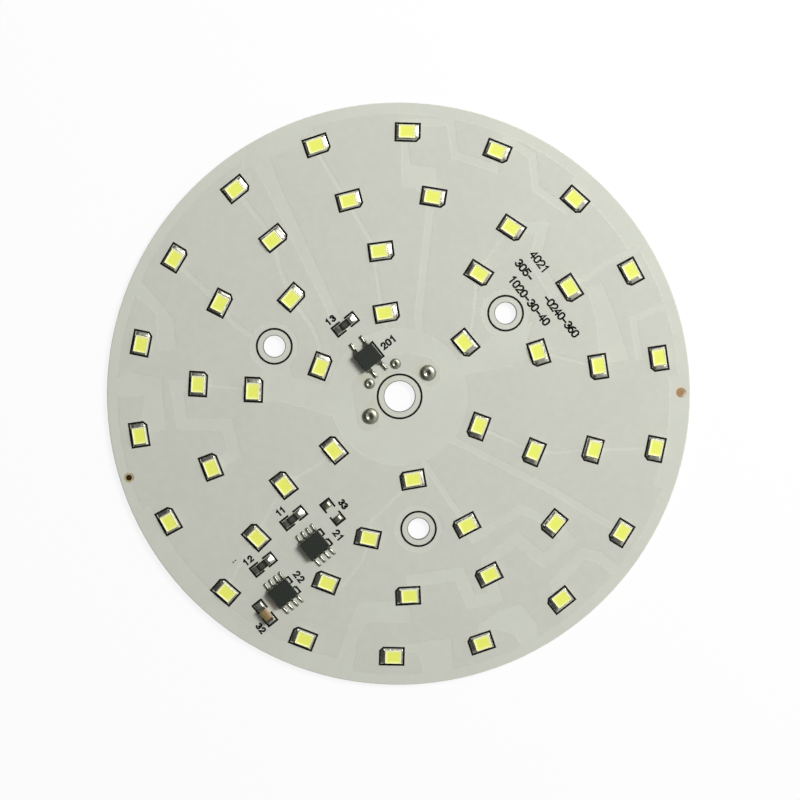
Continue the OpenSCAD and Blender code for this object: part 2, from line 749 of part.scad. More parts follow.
// Puts its children where resistor n sits
module at_resistor(n, z) {
    at_part(beside(resistor_at[n], [resistor_slip[n], 0]), z = z) children();
}
module at_capacitor() {
    at_part(capacitor_at, across = true, z = seat_z) translate([capacitor_slip, 0, 0]) children();
}
module resistor_body(n) {
    color("#e6e3da") at_resistor(n, seat_z) chip_block(resistor_h);
}
module resistor_coat(n) {
    l = chip_part_l - 2 * end_l;
    color("#2a2b29") at_resistor(n, seat_z + resistor_h - end_t) {
        translate([-l / 2, -chip_part_w / 2, 0]) cube([l, chip_part_w, coat_t]);
    }
}
module resistor_ends(n) {
    color("#c9cac6") at_resistor(n, seat_z) metal_ends(resistor_h);
}
module capacitor_body() {
    color("#a58a63") at_capacitor() chip_block(capacitor_h);
}
module capacitor_ends() {
    color("#c9cac6") at_capacitor() metal_ends(capacitor_h);
}
// Solder at both ends of a chip part that sits off the middle of its pads by slip
module end_solder(slip) {
    for (side = [1, -1]) {
        rotate(side > 0 ? 0 : 180) {
            solder_strip(
                chip_pad_gap / 2, chip_part_l / 2 + end_t + side * slip, chip_pad_span / 2, end_solder_h,
                chip_pad_w
            );
        }
    }
}
module chip_solder() {
    color("#d2d3d1") {
        for (n = [0:len(resistor_at) - 1]) {
            at_part(resistor_at[n], z = copper_top) end_solder(resistor_slip[n]);
        }
        at_part(capacitor_at, across = true, z = copper_top) end_solder(capacitor_slip);
    }
}
module spare_pads() {
    l = (chip_pad_span - chip_pad_gap) / 2;
    color("#d2d3d1") at_part(spare_at, across = true, z = copper_top) {
        for (side = [-1, 1]) {
            translate([side * (chip_pad_gap + l) / 2, 0, 0]) leaning_block(l, chip_pad_w, 2 * solder_t, 0.15);
        }
    }
}
// Round of solder with a hollow middle, on a land for a wire
module solder_ring(d, h) {
    r = d / 2;
    rotate_extrude() {
        polygon([
            [0, 0], [r, 0], [r, solder_toe], [0.93 * r, 0.45 * h], [0.8 * r, 0.82 * h], [0.64 * r, h],
            [0.5 * r, 0.96 * h], [0.36 * r, 0.7 * h], [0.24 * r, 0.42 * h], [0, 0.32 * h],
        ]);
    }
}
module wire_lands() {
    color("#c6c7c4") {
        for (p = land_at) {
            translate([p[0], p[1], copper_top]) solder_ring(land_d, land_h);
        }
    }
}
module small_lands() {
    color("#c6c7c4") {
        for (p = small_land_at) {
            translate([p[0], p[1], copper_top]) solder_ring(small_land_d, small_land_h);
        }
    }
}

base_plate();
insulation_layer();
copper_circuit();
solder_mask();
led_outlines();
hole_rings();
part_outlines();
led_leads(1);  // led_leads_ring_1
led_leads(2);  // led_leads_ring_2
led_leads(3);  // led_leads_ring_3
led_leads(4);  // led_leads_ring_4
led_housings(1);  // led_housings_ring_1
led_housings(2);  // led_housings_ring_2
led_housings(3);  // led_housings_ring_3
led_housings(4);  // led_housings_ring_4
led_chips(1);  // led_chips_ring_1
led_chips(2);  // led_chips_ring_2
led_chips(3);  // led_chips_ring_3
led_chips(4);  // led_chips_ring_4
led_phosphors(1);  // led_phosphor_ring_1
led_phosphors(2);  // led_phosphor_ring_2
led_phosphors(3);  // led_phosphor_ring_3
led_phosphors(4);  // led_phosphor_ring_4
led_solder(1);  // led_solder_ring_1
led_solder(2);  // led_solder_ring_2
led_solder(3);  // led_solder_ring_3
led_solder(4);  // led_solder_ring_4
bridge_body();
bridge_leads();
bridge_solder();
driver_body(driver_at[0]);  // driver_1_body
driver_leads(driver_at[0]);  // driver_1_leads
driver_solder(driver_at[0]);  // driver_1_solder
driver_body(driver_at[1]);  // driver_2_body
driver_leads(driver_at[1]);  // driver_2_leads
driver_solder(driver_at[1]);  // driver_2_solder
resistor_body(0);  // resistor_1_body
resistor_coat(0);  // resistor_1_coat
resistor_ends(0);  // resistor_1_ends
resistor_body(1);  // resistor_2_body
resistor_coat(1);  // resistor_2_coat
resistor_ends(1);  // resistor_2_ends
resistor_body(2);  // resistor_3_body
resistor_coat(2);  // resistor_3_coat
resistor_ends(2);  // resistor_3_ends
capacitor_body();
capacitor_ends();
chip_solder();
spare_pads();
wire_lands();
small_lands();
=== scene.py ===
"""Round LED lamp module board, seen from above on a pale table.

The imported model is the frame. The solder mask, the LEDs' housings, the phosphor and all the solder are
made again here as finer surfaces in the same places. Printed numbers are added, and the other parts keep
their solids.
Lengths in the functions are in millimetres, and become metres where a mesh is made.
"""

import bpy
import numpy as np
from mathutils import Matrix
from mathutils.geometry import delaunay_2d_cdt


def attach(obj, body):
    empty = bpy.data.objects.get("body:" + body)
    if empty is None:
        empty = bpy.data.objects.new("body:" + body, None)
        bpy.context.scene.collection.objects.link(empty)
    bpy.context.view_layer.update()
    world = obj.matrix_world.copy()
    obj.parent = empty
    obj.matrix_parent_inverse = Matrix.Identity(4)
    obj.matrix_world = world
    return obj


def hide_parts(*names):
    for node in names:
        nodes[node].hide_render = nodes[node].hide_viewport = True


MM = 0.001
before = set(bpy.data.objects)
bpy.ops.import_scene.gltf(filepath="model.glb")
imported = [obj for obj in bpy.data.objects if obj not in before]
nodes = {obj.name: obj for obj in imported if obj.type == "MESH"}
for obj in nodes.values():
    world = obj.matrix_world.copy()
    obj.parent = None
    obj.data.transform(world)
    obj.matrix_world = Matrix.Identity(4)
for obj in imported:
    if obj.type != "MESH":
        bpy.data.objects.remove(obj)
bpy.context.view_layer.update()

# Heights of the layers above the back face, and of the undersides of the parts
COPPER_TOP = 1.135
GAP_TOP = 1.143
MASK_TOP = 1.165
INK_TOP = 1.185
SEAT = 1.185
# Share of the step by which the real mask fills its gaps, and the height and slope that come of it
GAP_FILL = 0.3
GAP_SKIN = GAP_TOP + GAP_FILL * (MASK_TOP - GAP_TOP)
GAP_SLOPE = 0.3

# Rings of LEDs: radius, number, angle of the first one in degrees
RINGS = [(17.4, 6, 31.2), (30.0, 9, 9.2), (41.4, 15, 0.2), (54.0, 18, 0.0)]
# LEDs that sit off their marks: (ring, number in the ring): clockwise and outward shift
STRAYS = {
    (1, 0): (-0.15, -0.2), (1, 1): (-0.25, 0.05), (1, 3): (0.15, 0.2), (1, 4): (0.25, -0.1),
    (2, 0): (-0.15, -0.25), (2, 1): (0.3, 0.0), (2, 2): (-0.25, 0.1), (2, 3): (-0.2, 0.0),
    (2, 4): (-0.1, 0.2), (2, 7): (0.1, 0.1), (3, 5): (-0.4, -0.15), (3, 6): (0.1, 0.1),
    (3, 7): (0.15, 0.05), (3, 13): (0.0, 0.2), (3, 14): (0.05, 0.2), (4, 4): (0.0, 0.15),
    (4, 13): (0.0, 0.1), (4, 15): (0.0, -0.2),
}
# LED housing: size, the cup's rim, the lean of its walls, and the draft of the outer walls
LED_L, LED_W, LED_H = 3.5, 2.8, 0.75
LED_RIM, LED_LEAN, LED_DRAFT = 0.2, 0.2, 0.08
# LED leads: the cup's floor over them, their width, and their reach from the middle
LED_LEAD_T, LED_LEAD_W, LED_REACH = 0.15, 2.0, 1.83
# LED pads: width, how far the long and the short one end from the middle, and the long one's cut corner
PAD_W, PAD_LONG_END, PAD_SHORT_END, PAD_CUT = 2.9, 2.5, 2.03, 0.44
# Pits in the solder of an LED's long pad: place, radius, depth
PITS = [(2.14, 1.1, 0.14, 0.025), (2.1, -1.02, 0.17, 0.06)]

# Solder: its thickness under a part, and its least thickness on an LED's pad
UNDER_PART = SEAT - COPPER_TOP
THIN_SKIN = 0.012


def polar(distance, degrees):
    """The place at a distance from the board's middle, in a direction."""
    return distance * np.cos(np.radians(degrees)), distance * np.sin(np.radians(degrees))


# The other parts, set square to one grid
TURN = 30.0
BRIDGE = (-5.2, 9.0)
DRIVERS = [polar(35.3, -128), polar(47.2, -129.1)]
# Steps along and across the grid by which the driver chips sit off the middle of their pads
DRIVER_SHIFT = (-0.1, 0.15)
# Leads: pitch, number on a side, span over the feet and width, and the length of all feet
BRIDGE_LEADS = (2.6, 2, 6.9, 0.65)
DRIVER_LEADS = (1.27, 4, 6.1, 0.42)
LEAD_FOOT = 0.6


def beside(place, off):
    """The place that lies off another by a step along and across the slanted grid."""
    c, s = np.cos(np.radians(TURN)), np.sin(np.radians(TURN))
    return place[0] + off[0] * c - off[1] * s, place[1] + off[0] * s + off[1] * c


RESISTORS = [beside(DRIVERS[0], (0, 7.2)), beside(DRIVERS[1], (0.45, 7.2)), beside(BRIDGE, (0.5, 8.15))]
CAPACITOR = beside(DRIVERS[1], (-5.6, -0.85))
# Where the chip parts sit off the middle of their pads: along the grid, and for the capacitor towards -Y
RESISTOR_SLIP = [-0.35, -0.3, -0.15]
CAPACITOR_SLIP = 0.35
# Half length of a chip part, and its pads: both ends from the middle, and the half width
CHIP_HALF_L = 1.63
CHIP_PAD_IN, CHIP_PAD_OUT, CHIP_PAD_HALF_W = 1.1, 2.52, 0.825
# The two pads without a part, the lands of the wires, the sighting dots, and the holes with their radius
SPARE = beside(DRIVERS[0], (7.05, 3.2))
LANDS = [(6.5, 3.9), (-6.55, -3.15)]
SMALL_LANDS = [(0.15, 6.75), (-5.75, 3.5)]
SIGHTS = [(57.6, -7.92), (-57.48, -8.22)]
HOLES = [(0.0, 0.0, 3.15)] + [(*polar(27.7, degrees), 2.2) for degrees in (29.6, 149.6, 269.6)]


# Shader building

class Shader:
    """A node material. add() makes a node, and sets or links its inputs by name, in which an underscore
    stands for a space, or by number, such as i0."""

    def __init__(self, name, **surface):
        self.material = bpy.data.materials.new(name)
        self.material.use_nodes = True
        self.tree = self.material.node_tree
        self.tree.nodes.clear()
        self.surface = self.add("ShaderNodeBsdfPrincipled", **surface)
        out = self.add("ShaderNodeOutputMaterial")
        self.tree.links.new(self.surface.outputs[0], out.inputs["Surface"])
        self.place = self.add("ShaderNodeTexCoord").outputs["Object"]

    def add(self, kind, settings=None, **inputs):
        node = self.tree.nodes.new(kind)
        for key, value in (settings or {}).items():
            setattr(node, key, value)
        for key, value in inputs.items():
            self.put(node, key, value)
        return node

    def put(self, node, key, value):
        name = key.replace("_", " ")
        socket = node.inputs[int(name[1:])] if name[0] == "i" and name[1:].isdigit() else node.inputs[name]
        if isinstance(value, bpy.types.NodeSocket):
            self.tree.links.new(value, socket)
        elif hasattr(socket.default_value, "__len__") and not hasattr(value, "__len__"):
            socket.default_value = [value] * len(socket.default_value)
        elif hasattr(value, "__len__") and len(socket.default_value) == 4 and len(value) == 3:
            socket.default_value = (*value, 1.0)
        else:
            socket.default_value = value

    def noise(self, size_mm, detail=2.0, stretch=None):
        """Soft noise whose lumps are about size_mm across, from 0 to 1."""
        where = self.place
        if stretch:
            where = self.add("ShaderNodeMapping", Vector=self.place, Scale=stretch).outputs[0]
        scale = 1 / (size_mm * MM)
        return self.add("ShaderNodeTexNoise", Vector=where, Scale=scale, Detail=detail).outputs[0]

    def ramp(self, value, low, high, to_low=0.0, to_high=1.0):
        """Carries value smoothly from low..high to to_low..to_high, and holds it beyond them."""
        return self.add(
            "ShaderNodeMapRange", {"interpolation_type": "SMOOTHSTEP"}, Value=value,
            From_Min=low, From_Max=high, To_Min=to_low, To_Max=to_high,
        ).outputs[0]

    def maths(self, operation, a, b=0.0):
        return self.add("ShaderNodeMath", {"operation": operation}, i0=a, i1=b).outputs[0]

    def mix(self, share, a, b):
        """Colour a where share is 0, colour b where it is 1."""
        node = self.add("ShaderNodeMix", {"data_type": "RGBA"})
        self.put(node, "i0", share)
        self.put(node, "i6", a)
        self.put(node, "i7", b)
        return node.outputs[2]

    def height(self, value, millimetres):
        """Bumps the surface by that many millimetres."""
        bump = self.add("ShaderNodeBump", Height=value, Distance=millimetres * MM, Strength=1.0)
        self.put(self.surface, "Normal", bump.outputs[0])

    def colour(self, value):
        self.put(self.surface, "Base Color", value)

    def apart(self):
        """The surface point's coordinates, in metres."""
        return self.add("ShaderNodeSeparateXYZ", Vector=self.place).outputs

    def near(self, x, y, inner, outer):
        """1 within inner of an upright axis at x, y, falling to 0 at outer, in millimetres."""
        px, py, _ = self.apart()
        flat = self.add("ShaderNodeCombineXYZ", X=px, Y=py).outputs[0]
        away = self.add(
            "ShaderNodeVectorMath", {"operation": "DISTANCE"}, i0=flat, i1=(x * MM, y * MM, 0)
        ).outputs["Value"]
        return self.ramp(away, inner * MM, outer * MM, 1.0, 0.0)


def rgb(r, g, b):
    """Linear colour of an eight-bit screen colour."""
    v = np.array([r, g, b]) / 255
    return tuple(float(x) for x in np.where(v <= 0.04045, v / 12.92, ((v + 0.055) / 1.055) ** 2.4))


def mask_material():
    """White solder mask: a little darker and pinker where copper lies under it, faintly mottled, with
    the grain of a screen print, a yellow trace of flux round the wire lands and a tan one beside the
    right sighting dot."""
    s = Shader("white_solder_mask", Roughness=0.42)
    z = s.apart()[2]
    raised = s.ramp(z, (GAP_SKIN + 0.002) * MM, (MASK_TOP - 0.002) * MM)
    tone = s.mix(raised, rgb(205, 208, 195), rgb(201, 202, 190))
    cloud = s.ramp(s.noise(14, 3), 0.3, 0.7)
    tone = s.mix(s.maths("MULTIPLY", cloud, 0.35), tone, rgb(196, 196, 187))
    mottle = s.ramp(s.noise(1.6, 3), 0.35, 0.7)
    tone = s.mix(s.maths("MULTIPLY", mottle, 0.18), tone, rgb(214, 214, 204))
    flux = 0.0
    for x, y in [(5.2, 5.0), (-5.6, -1.2), (-2.0, 3.6), (-6.4, 5.0)]:
        flux = s.maths("MAXIMUM", flux, s.near(x, y, 0.3, 2.6))
    patchy = s.maths("MULTIPLY", flux, s.ramp(s.noise(1.1, 3), 0.3, 0.65, 0.05, 0.5))
    tone = s.mix(patchy, tone, rgb(192, 190, 158))
    x, y = SIGHTS[0]
    s.colour(s.mix(s.near(x - 0.14, y + 0.12, 1.05, 1.4), tone, rgb(222, 204, 184)))
    s.height(s.maths("ADD", s.noise(0.22, 3), s.maths("MULTIPLY", s.noise(2.5, 2), 2.0)), 0.004)
    return s.material


def ink_material():
    """Black screen-printed ink, a little thin in places, with a ragged grain."""
    s = Shader("black_ink", Roughness=0.7, Specular_IOR_Level=0.15)
    s.colour(s.mix(s.ramp(s.noise(0.35, 3), 0.45, 0.75), rgb(13, 14, 10), rgb(34, 35, 29)))
    s.height(s.noise(0.12, 2), 0.004)
    return s.material


def solder_material():
    """Bright reflowed solder with a fine frosting and slow waves in its skin, and dark brown in its pits."""
    s = Shader("bright_solder", Metallic=1.0)
    frost = s.noise(0.18, 4)
    tone = s.mix(s.ramp(frost, 0.35, 0.7), rgb(228, 227, 214), rgb(188, 186, 170))
    pit = s.add("ShaderNodeAttribute", {"attribute_name": "pit"}).outputs["Fac"]
    s.colour(s.mix(s.ramp(pit, 0.15, 0.75), tone, rgb(52, 46, 38)))
    s.put(s.surface, "Roughness", s.ramp(s.noise(0.5, 2), 0.3, 0.7, 0.24, 0.38))
    s.height(s.maths("ADD", frost, s.maths("MULTIPLY", s.noise(0.7, 2), 1.5)), 0.01)
    return s.material


def plain_solder_material(name, light, dark, smoothest, roughest, metallic=1.0):
    """Satin grey solder with a fine frosting."""
    s = Shader(name, Metallic=metallic)
    frost = s.noise(0.2, 4)
    s.colour(s.mix(s.ramp(frost, 0.35, 0.7), light, dark))
    s.put(s.surface, "Roughness", s.ramp(s.noise(0.6, 2), 0.3, 0.7, smoothest, roughest))
    s.height(frost, 0.008)
    return s.material


def lead_material():
    """Tin on the chips' bent leads: dull olive grey with faint scratches, painted much darker than the LEDs'
    tin leads as painted shade for the dark reflections along them.
    """
    s = Shader("shade_darkened_tin", Metallic=1.0)
    marks = s.noise(0.2, 4)
    # Painted shade: this tin is coloured far darker than the tin plate of the LEDs' leads
    s.colour(s.mix(s.ramp(marks, 0.35, 0.7), rgb(138, 139, 125), rgb(94, 95, 83)))
    s.put(s.surface, "Roughness", s.ramp(marks, 0.3, 0.7, 0.3, 0.42))
    s.height(marks, 0.006)
    return s.material


def tinned_material():
    """Tin-plated leads and end caps: satin grey metal with faint scratches along them."""
    s = Shader("tin_plate", Metallic=1.0)
    marks = s.noise(0.25, 4, stretch=(1.0, 3.0, 1.0))
    s.colour(s.mix(s.ramp(marks, 0.35, 0.7), rgb(226, 224, 212), rgb(182, 179, 164)))
    s.put(s.surface, "Roughness", s.ramp(marks, 0.3, 0.7, 0.3, 0.44))
    s.height(marks, 0.006)
    return s.material


def housing_material():
    """White heat-proof plastic of the LED housings, yellowish near the rim, where the phosphor's colour
    soaks through, with a moulded grain."""
    s = Shader("led_housing_white", Roughness=0.4)
    body = s.mix(s.ramp(s.noise(0.4, 2), 0.3, 0.7), rgb(246, 246, 238), rgb(236, 236, 226))
    glow = s.ramp(s.apart()[2], (SEAT + 0.45) * MM, (SEAT + 0.74) * MM)
    s.colour(s.mix(glow, body, rgb(248, 250, 200)))
    s.height(s.noise(0.08, 2), 0.002)
    return s.material


def phosphor_material():
    """Yellow phosphor in clear silicone: deep yellow over the chip, pale where the white cup shows
    through near its walls, with the phosphor's powder grain."""
    s = Shader("phosphor_gel", Roughness=0.3)
    uv = s.add("ShaderNodeUVMap", {"uv_map": "cup"}).outputs[0]
    u, v, _ = s.add("ShaderNodeSeparateXYZ", Vector=uv).outputs
    out_u = s.maths("ABSOLUTE", s.maths("SUBTRACT", u, 0.5))
    out_v = s.maths("ABSOLUTE", s.maths("SUBTRACT", v, 0.5))
    edge = s.maths("MAXIMUM", out_u, out_v)
    edge = s.maths("ADD", edge, s.maths("MULTIPLY", s.maths("SUBTRACT", s.noise(0.9, 2), 0.5), 0.12))
    tone = s.mix(s.ramp(edge, 0.3, 0.49), rgb(237, 243, 108), rgb(250, 252, 168))
    grain = s.ramp(s.noise(0.12, 3), 0.4, 0.75)
    tone = s.mix(s.maths("MULTIPLY", grain, 0.3), tone, rgb(246, 248, 132))
    s.colour(tone)
    s.height(s.noise(0.1, 2), 0.003)
    return s.material


def case_material():
    """Black moulded epoxy with a fine matt grain."""
    s = Shader("black_epoxy", Roughness=0.6, Specular_IOR_Level=0.3)
    s.colour(s.mix(s.ramp(s.noise(0.3, 3), 0.35, 0.7), rgb(31, 36, 30), rgb(43, 48, 41)))
    s.height(s.noise(0.09, 3), 0.008)
    return s.material


def ceramic_material(name, dark, light, roughness):
    """Fired ceramic with a fine speckle."""
    s = Shader(name, Roughness=roughness)
    s.colour(s.mix(s.ramp(s.noise(0.2, 3), 0.35, 0.7), dark, light))
    s.height(s.noise(0.1, 2), 0.003)
    return s.material


def capacitor_materials():
    """Tan fired ceramic with painted shade, olive, on the side away from the window and painted light, pale,
    on the other, and its tarnished metal ends, which are blotched with dark flux."""
    c, t = np.cos(np.radians(TURN)), np.sin(np.radians(TURN))
    middle = CAPACITOR[0] * c + CAPACITOR[1] * t
    clay = Shader("tan_ceramic", Roughness=0.36)
    turned = clay.add("ShaderNodeMapping", Vector=clay.place, Rotation=(0, 0, -np.radians(TURN))).outputs[0]
    along = clay.add("ShaderNodeSeparateXYZ", Vector=turned).outputs[0]
    olive, tan, pale, speck = rgb(112, 102, 58), rgb(148, 120, 84), rgb(196, 170, 138), rgb(134, 112, 76)
    # Painted shade and painted light: olive on the side away from the window, pale on the side facing it
    tone = clay.mix(clay.ramp(along, (middle - 0.7) * MM, (middle + 0.2) * MM), olive, tan)
    tone = clay.mix(clay.ramp(along, (middle + 0.25) * MM, (middle + 0.8) * MM), tone, pale)
    clay.colour(clay.mix(clay.ramp(clay.noise(0.22, 3), 0.45, 0.75, 0.0, 0.5), tone, speck))
    clay.height(clay.noise(0.1, 2), 0.003)
    ends = Shader("tarnished_ends", Metallic=1.0)
    blotch = ends.noise(0.3, 3)
    ends.colour(ends.mix(ends.ramp(blotch, 0.42, 0.6), rgb(88, 88, 70), rgb(186, 186, 172)))
    ends.put(ends.surface, "Roughness", ends.ramp(blotch, 0.35, 0.65, 0.5, 0.3))
    ends.height(blotch, 0.012)
    return clay.material, ends.material


def coat_material():
    """Dark glassy overcoat of the resistors, lighter towards each one's middle and darker towards its edges.
    """
    s = Shader("resistor_glaze", Roughness=0.24)
    middle = 0.0
    for place, slip in zip(RESISTORS, RESISTOR_SLIP):
        middle = s.maths("MAXIMUM", middle, s.near(*beside(place, (slip, 0)), 0.15, 0.95))
    tone = s.mix(middle, rgb(27, 28, 24), rgb(74, 77, 70))
    s.colour(s.mix(s.ramp(s.noise(0.4, 2), 0.4, 0.75, 0.0, 0.4), tone, rgb(46, 48, 43)))
    s.height(s.noise(0.25, 2), 0.006)
    return s.material


def aluminium_material():
    """Rolled aluminium sheet: brushed along one direction, with painted shade, dark grey, on its holes'
    walls.
    """
    s = Shader("rolled_aluminium", Metallic=1.0)
    grain = s.noise(0.35, 4, stretch=(0.02, 1.0, 1.0))
    tone = s.mix(s.ramp(grain, 0.35, 0.7), rgb(205, 207, 209), rgb(172, 174, 177))
    # Painted shade: the holes' walls are coloured dark grey
    painted_hole_shade = 0.0
    for x, y, r in HOLES:
        painted_hole_shade = s.maths("MAXIMUM", painted_hole_shade, s.near(x, y, r + 0.02, r + 0.1))
    s.colour(s.mix(painted_hole_shade, tone, rgb(92, 92, 90)))
    s.put(s.surface, "Roughness", s.ramp(grain, 0.3, 0.7, 0.3, 0.44))
    s.height(grain, 0.004)
    return s.material


def insulation_material():
    """Ceramic-filled resin on the base: milky, with painted shade, dark grey, at the holes' edges, and
    browned round the two sighting dots."""
    s = Shader("insulating_resin", Roughness=0.5)
    tone = s.mix(s.ramp(s.noise(0.3, 3), 0.35, 0.7), rgb(206, 202, 190), rgb(222, 219, 208))
    # Painted shade: a dark grey ring round each hole's edge
    painted_hole_shade = 0.0
    for x, y, r in HOLES:
        painted_hole_shade = s.maths("MAXIMUM", painted_hole_shade, s.near(x, y, r + 0.14, r + 0.2))
    tone = s.mix(painted_hole_shade, tone, rgb(120, 118, 110))
    tone = s.mix(s.near(*SIGHTS[0], 1.3, 1.4), tone, rgb(160, 140, 112))
    tone = s.mix(s.near(SIGHTS[0][0] + 0.8, SIGHTS[0][1] - 0.7, 0.2, 0.9), tone, rgb(196, 188, 172))
    s.colour(s.mix(s.near(*SIGHTS[1], 1.3, 1.4), tone, rgb(176, 166, 126)))
    return s.material


def copper_material():
    """Copper: the pads' edges are tinned, and the two bare sighting dots are tarnished brown; the left one
    is painted much darker still, a painted dark reflection."""
    s = Shader("tinned_copper", Metallic=1.0, Roughness=0.42)
    tarnish = s.mix(s.ramp(s.noise(0.3, 3), 0.35, 0.7), rgb(190, 150, 108), rgb(158, 112, 68))
    tone = s.mix(s.ramp(s.noise(0.2, 3), 0.35, 0.7), rgb(206, 205, 200), rgb(168, 166, 160))
    tone = s.mix(s.near(*SIGHTS[0], 1.2, 1.4), tone, tarnish)
    # Painted dark reflection: the left sighting dot is coloured much darker than the right one
    tone = s.mix(s.near(*SIGHTS[1], 1.2, 1.4), tone, rgb(92, 66, 40))
    s.colour(tone)
    s.height(s.noise(0.15, 2), 0.006)
    return s.material


MASK = mask_material()
INK = ink_material()
SOLDER = solder_material()
DULL_SOLDER = plain_solder_material("dull_solder", rgb(184, 186, 168), rgb(142, 144, 124), 0.33, 0.43)
SATIN_SOLDER = plain_solder_material("satin_solder", rgb(186, 188, 174), rgb(138, 140, 125), 0.27, 0.37)
CHIP_SOLDER = plain_solder_material("chip_solder", rgb(206, 208, 198), rgb(174, 176, 164), 0.24, 0.31)
SPARE_SOLDER = plain_solder_material("spare_solder", rgb(160, 161, 144), rgb(122, 123, 107), 0.29, 0.38)
FROSTED_SOLDER = plain_solder_material(
    "frosted_solder", rgb(196, 198, 186), rgb(150, 152, 138), 0.3, 0.42, metallic=0.88
)
TIN = tinned_material()
LEAD_TIN = lead_material()
HOUSING = housing_material()
PHOSPHOR = phosphor_material()
CASE = case_material()
ALUMINA = ceramic_material("white_alumina", rgb(236, 234, 226), rgb(220, 218, 208), 0.5)
CAPACITOR_CLAY, CAPACITOR_ENDS = capacitor_materials()
CHIP = ceramic_material("led_die", rgb(120, 132, 158), rgb(150, 160, 182), 0.2)
GLAZE = coat_material()
ALUMINIUM = aluminium_material()
RESIN = insulation_material()
COPPER = copper_material()


# Mesh building

def make_piece(name, verts, faces, material, slot, replaced=(), uv=None, pits=None, smooth=True):
    """Puts millimetre vertices and faces into an object that rides on the board."""
    mesh = bpy.data.meshes.new(name)
    mesh.from_pydata((np.asarray(verts, float) * MM).tolist(), [], [list(map(int, f)) for f in faces])
    if uv is not None:
        layer = mesh.uv_layers.new(name="cup")
        corner = np.zeros(len(mesh.loops), np.int32)
        mesh.loops.foreach_get("vertex_index", corner)
        layer.data.foreach_set("uv", np.asarray(uv, np.float32)[corner].ravel())
    if pits is not None:
        mesh.attributes.new("pit", "FLOAT", "POINT").data.foreach_set("value", np.asarray(pits, np.float32))
    mesh.materials.append(material)
    mesh.polygons.foreach_set("use_smooth", np.full(len(mesh.polygons), smooth))
    mesh.update()
    piece = bpy.data.objects.new(name, mesh)
    bpy.context.scene.collection.objects.link(piece)
    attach(piece, "root")
    if replaced:
        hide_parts(*replaced)


def placed(points, x, y, turn):
    """Turns local points about Z by turn degrees, then moves them to x, y."""
    c, s = np.cos(np.radians(turn)), np.sin(np.radians(turn))
    out = np.array(points, float)
    out[:, 0] = points[:, 0] * c - points[:, 1] * s + x
    out[:, 1] = points[:, 0] * s + points[:, 1] * c + y
    return out


def gathered(shapes):
    """Joins (vertices, faces) shapes into one."""
    verts, faces, start = [], [], 0
    for v, f in shapes:
        verts.append(v)
        faces += [[i + start for i in face] for face in f]
        start += len(v)
    return np.concatenate(verts), faces


def led_places(ring):
    """Where each LED of a ring sits: x, y and the turn that makes +Y point outward."""
    radius, count, first = RINGS[ring - 1]
    places = []
    for i in range(count):
        angle = first + i * 360 / count
        along, out = STRAYS.get((ring, i), (0.0, 0.0))
        turn = angle - 90
        x, y, _ = placed(np.array([[along, radius + out, 0.0]]), 0, 0, turn)[0]
        places.append((x, y, turn))
    return places


def mark_places(ring):
    """Where each LED's pads are, with the shift of the LED along them."""
    radius, count, first = RINGS[ring - 1]
    places = []
    for i in range(count):
        angle = np.radians(first + i * 360 / count)
        along = STRAYS.get((ring, i), (0.0, 0.0))[0]
        places.append((radius * np.cos(angle), radius * np.sin(angle), np.degrees(angle) - 90, along))
    return places


def rounded_loop(a, b, r, z):
    """Rectangle of half sizes a, b with quarter-circle corners of radius r, counter-clockwise."""
    t = np.linspace(0, np.pi / 2, 5)
    rows = []
    for k, (cx, cy) in enumerate([(a - r, b - r), (-a + r, b - r), (-a + r, -b + r), (a - r, -b + r)]):
        rows.append(np.c_[cx + r * np.cos(t + k * np.pi / 2), cy + r * np.sin(t + k * np.pi / 2)])
    flat = np.concatenate(rows)
    return np.c_[flat, np.full(len(flat), z)]


def lofted(loops):
    """Skin through loops of equal length, with a flat face over the first and last one."""
    n = len(loops[0])
    i = np.arange(n)
    j = (i + 1) % n
    faces = []
    for k in range(len(loops) - 1):
        faces += np.c_[k * n + i, k * n + j, (k + 1) * n + j, (k + 1) * n + i].tolist()
    faces += [i[::-1].tolist(), (i + (len(loops) - 1) * n).tolist()]
    return np.concatenate(loops), faces


def led_housing():
    """White cup: walls that lean in to a rounded rim, the ends 1.7 times as much as the sides, then a cup
    whose walls lean in to its floor."""
    a, b, h, d = LED_L / 2, LED_W / 2, LED_H, LED_DRAFT
    loops = [rounded_loop(a, b, 0.08, 0.0)]
    for inset, z in [(d * 0.5, h * 0.5), (d * 0.9, h - 0.06), (d + 0.01, h - 0.02), (d + 0.03, h)]:
        loops.append(rounded_loop(a - inset * 1.7, b - inset, 0.08, z))
    for inset, z in [(LED_RIM - 0.03, h), (LED_RIM, h - 0.015), (LED_RIM + 0.02, h - 0.06)]:
        loops.append(rounded_loop(a - inset, b - inset, 0.1, z))
    floor = LED_RIM + LED_LEAN
    loops.append(rounded_loop(a - floor, b - floor, 0.12, LED_LEAD_T))
    return lofted(loops)


def led_gel():
    """Phosphor filling: rounded rectangles shrinking to the middle, lowest there and curling up to the
    rim by the tenth power of their size. The map puts the cup's middle at 0.5, 0.5."""
    a, b = LED_L / 2 - LED_RIM + 0.015, LED_W / 2 - LED_RIM + 0.015
    sizes = [1.0, 0.985, 0.96, 0.93, 0.89, 0.84, 0.76, 0.6, 0.4, 0.15]
    loops, spots = [], []
    for k in sizes:
        z = LED_H - 0.075 + 0.065 * k ** 10
        loop = rounded_loop(a * k, b * k, 0.1 * k, z)
        loops.append(loop)
        spots.append(np.c_[0.5 + 0.5 * loop[:, 0] / a, 0.5 + 0.5 * loop[:, 1] / b])
    low = rounded_loop(a * 0.985, b * 0.985, 0.1, LED_H - 0.2)
    verts, faces = lofted([low] + loops)
    return verts, faces, np.concatenate([spots[0]] + spots)


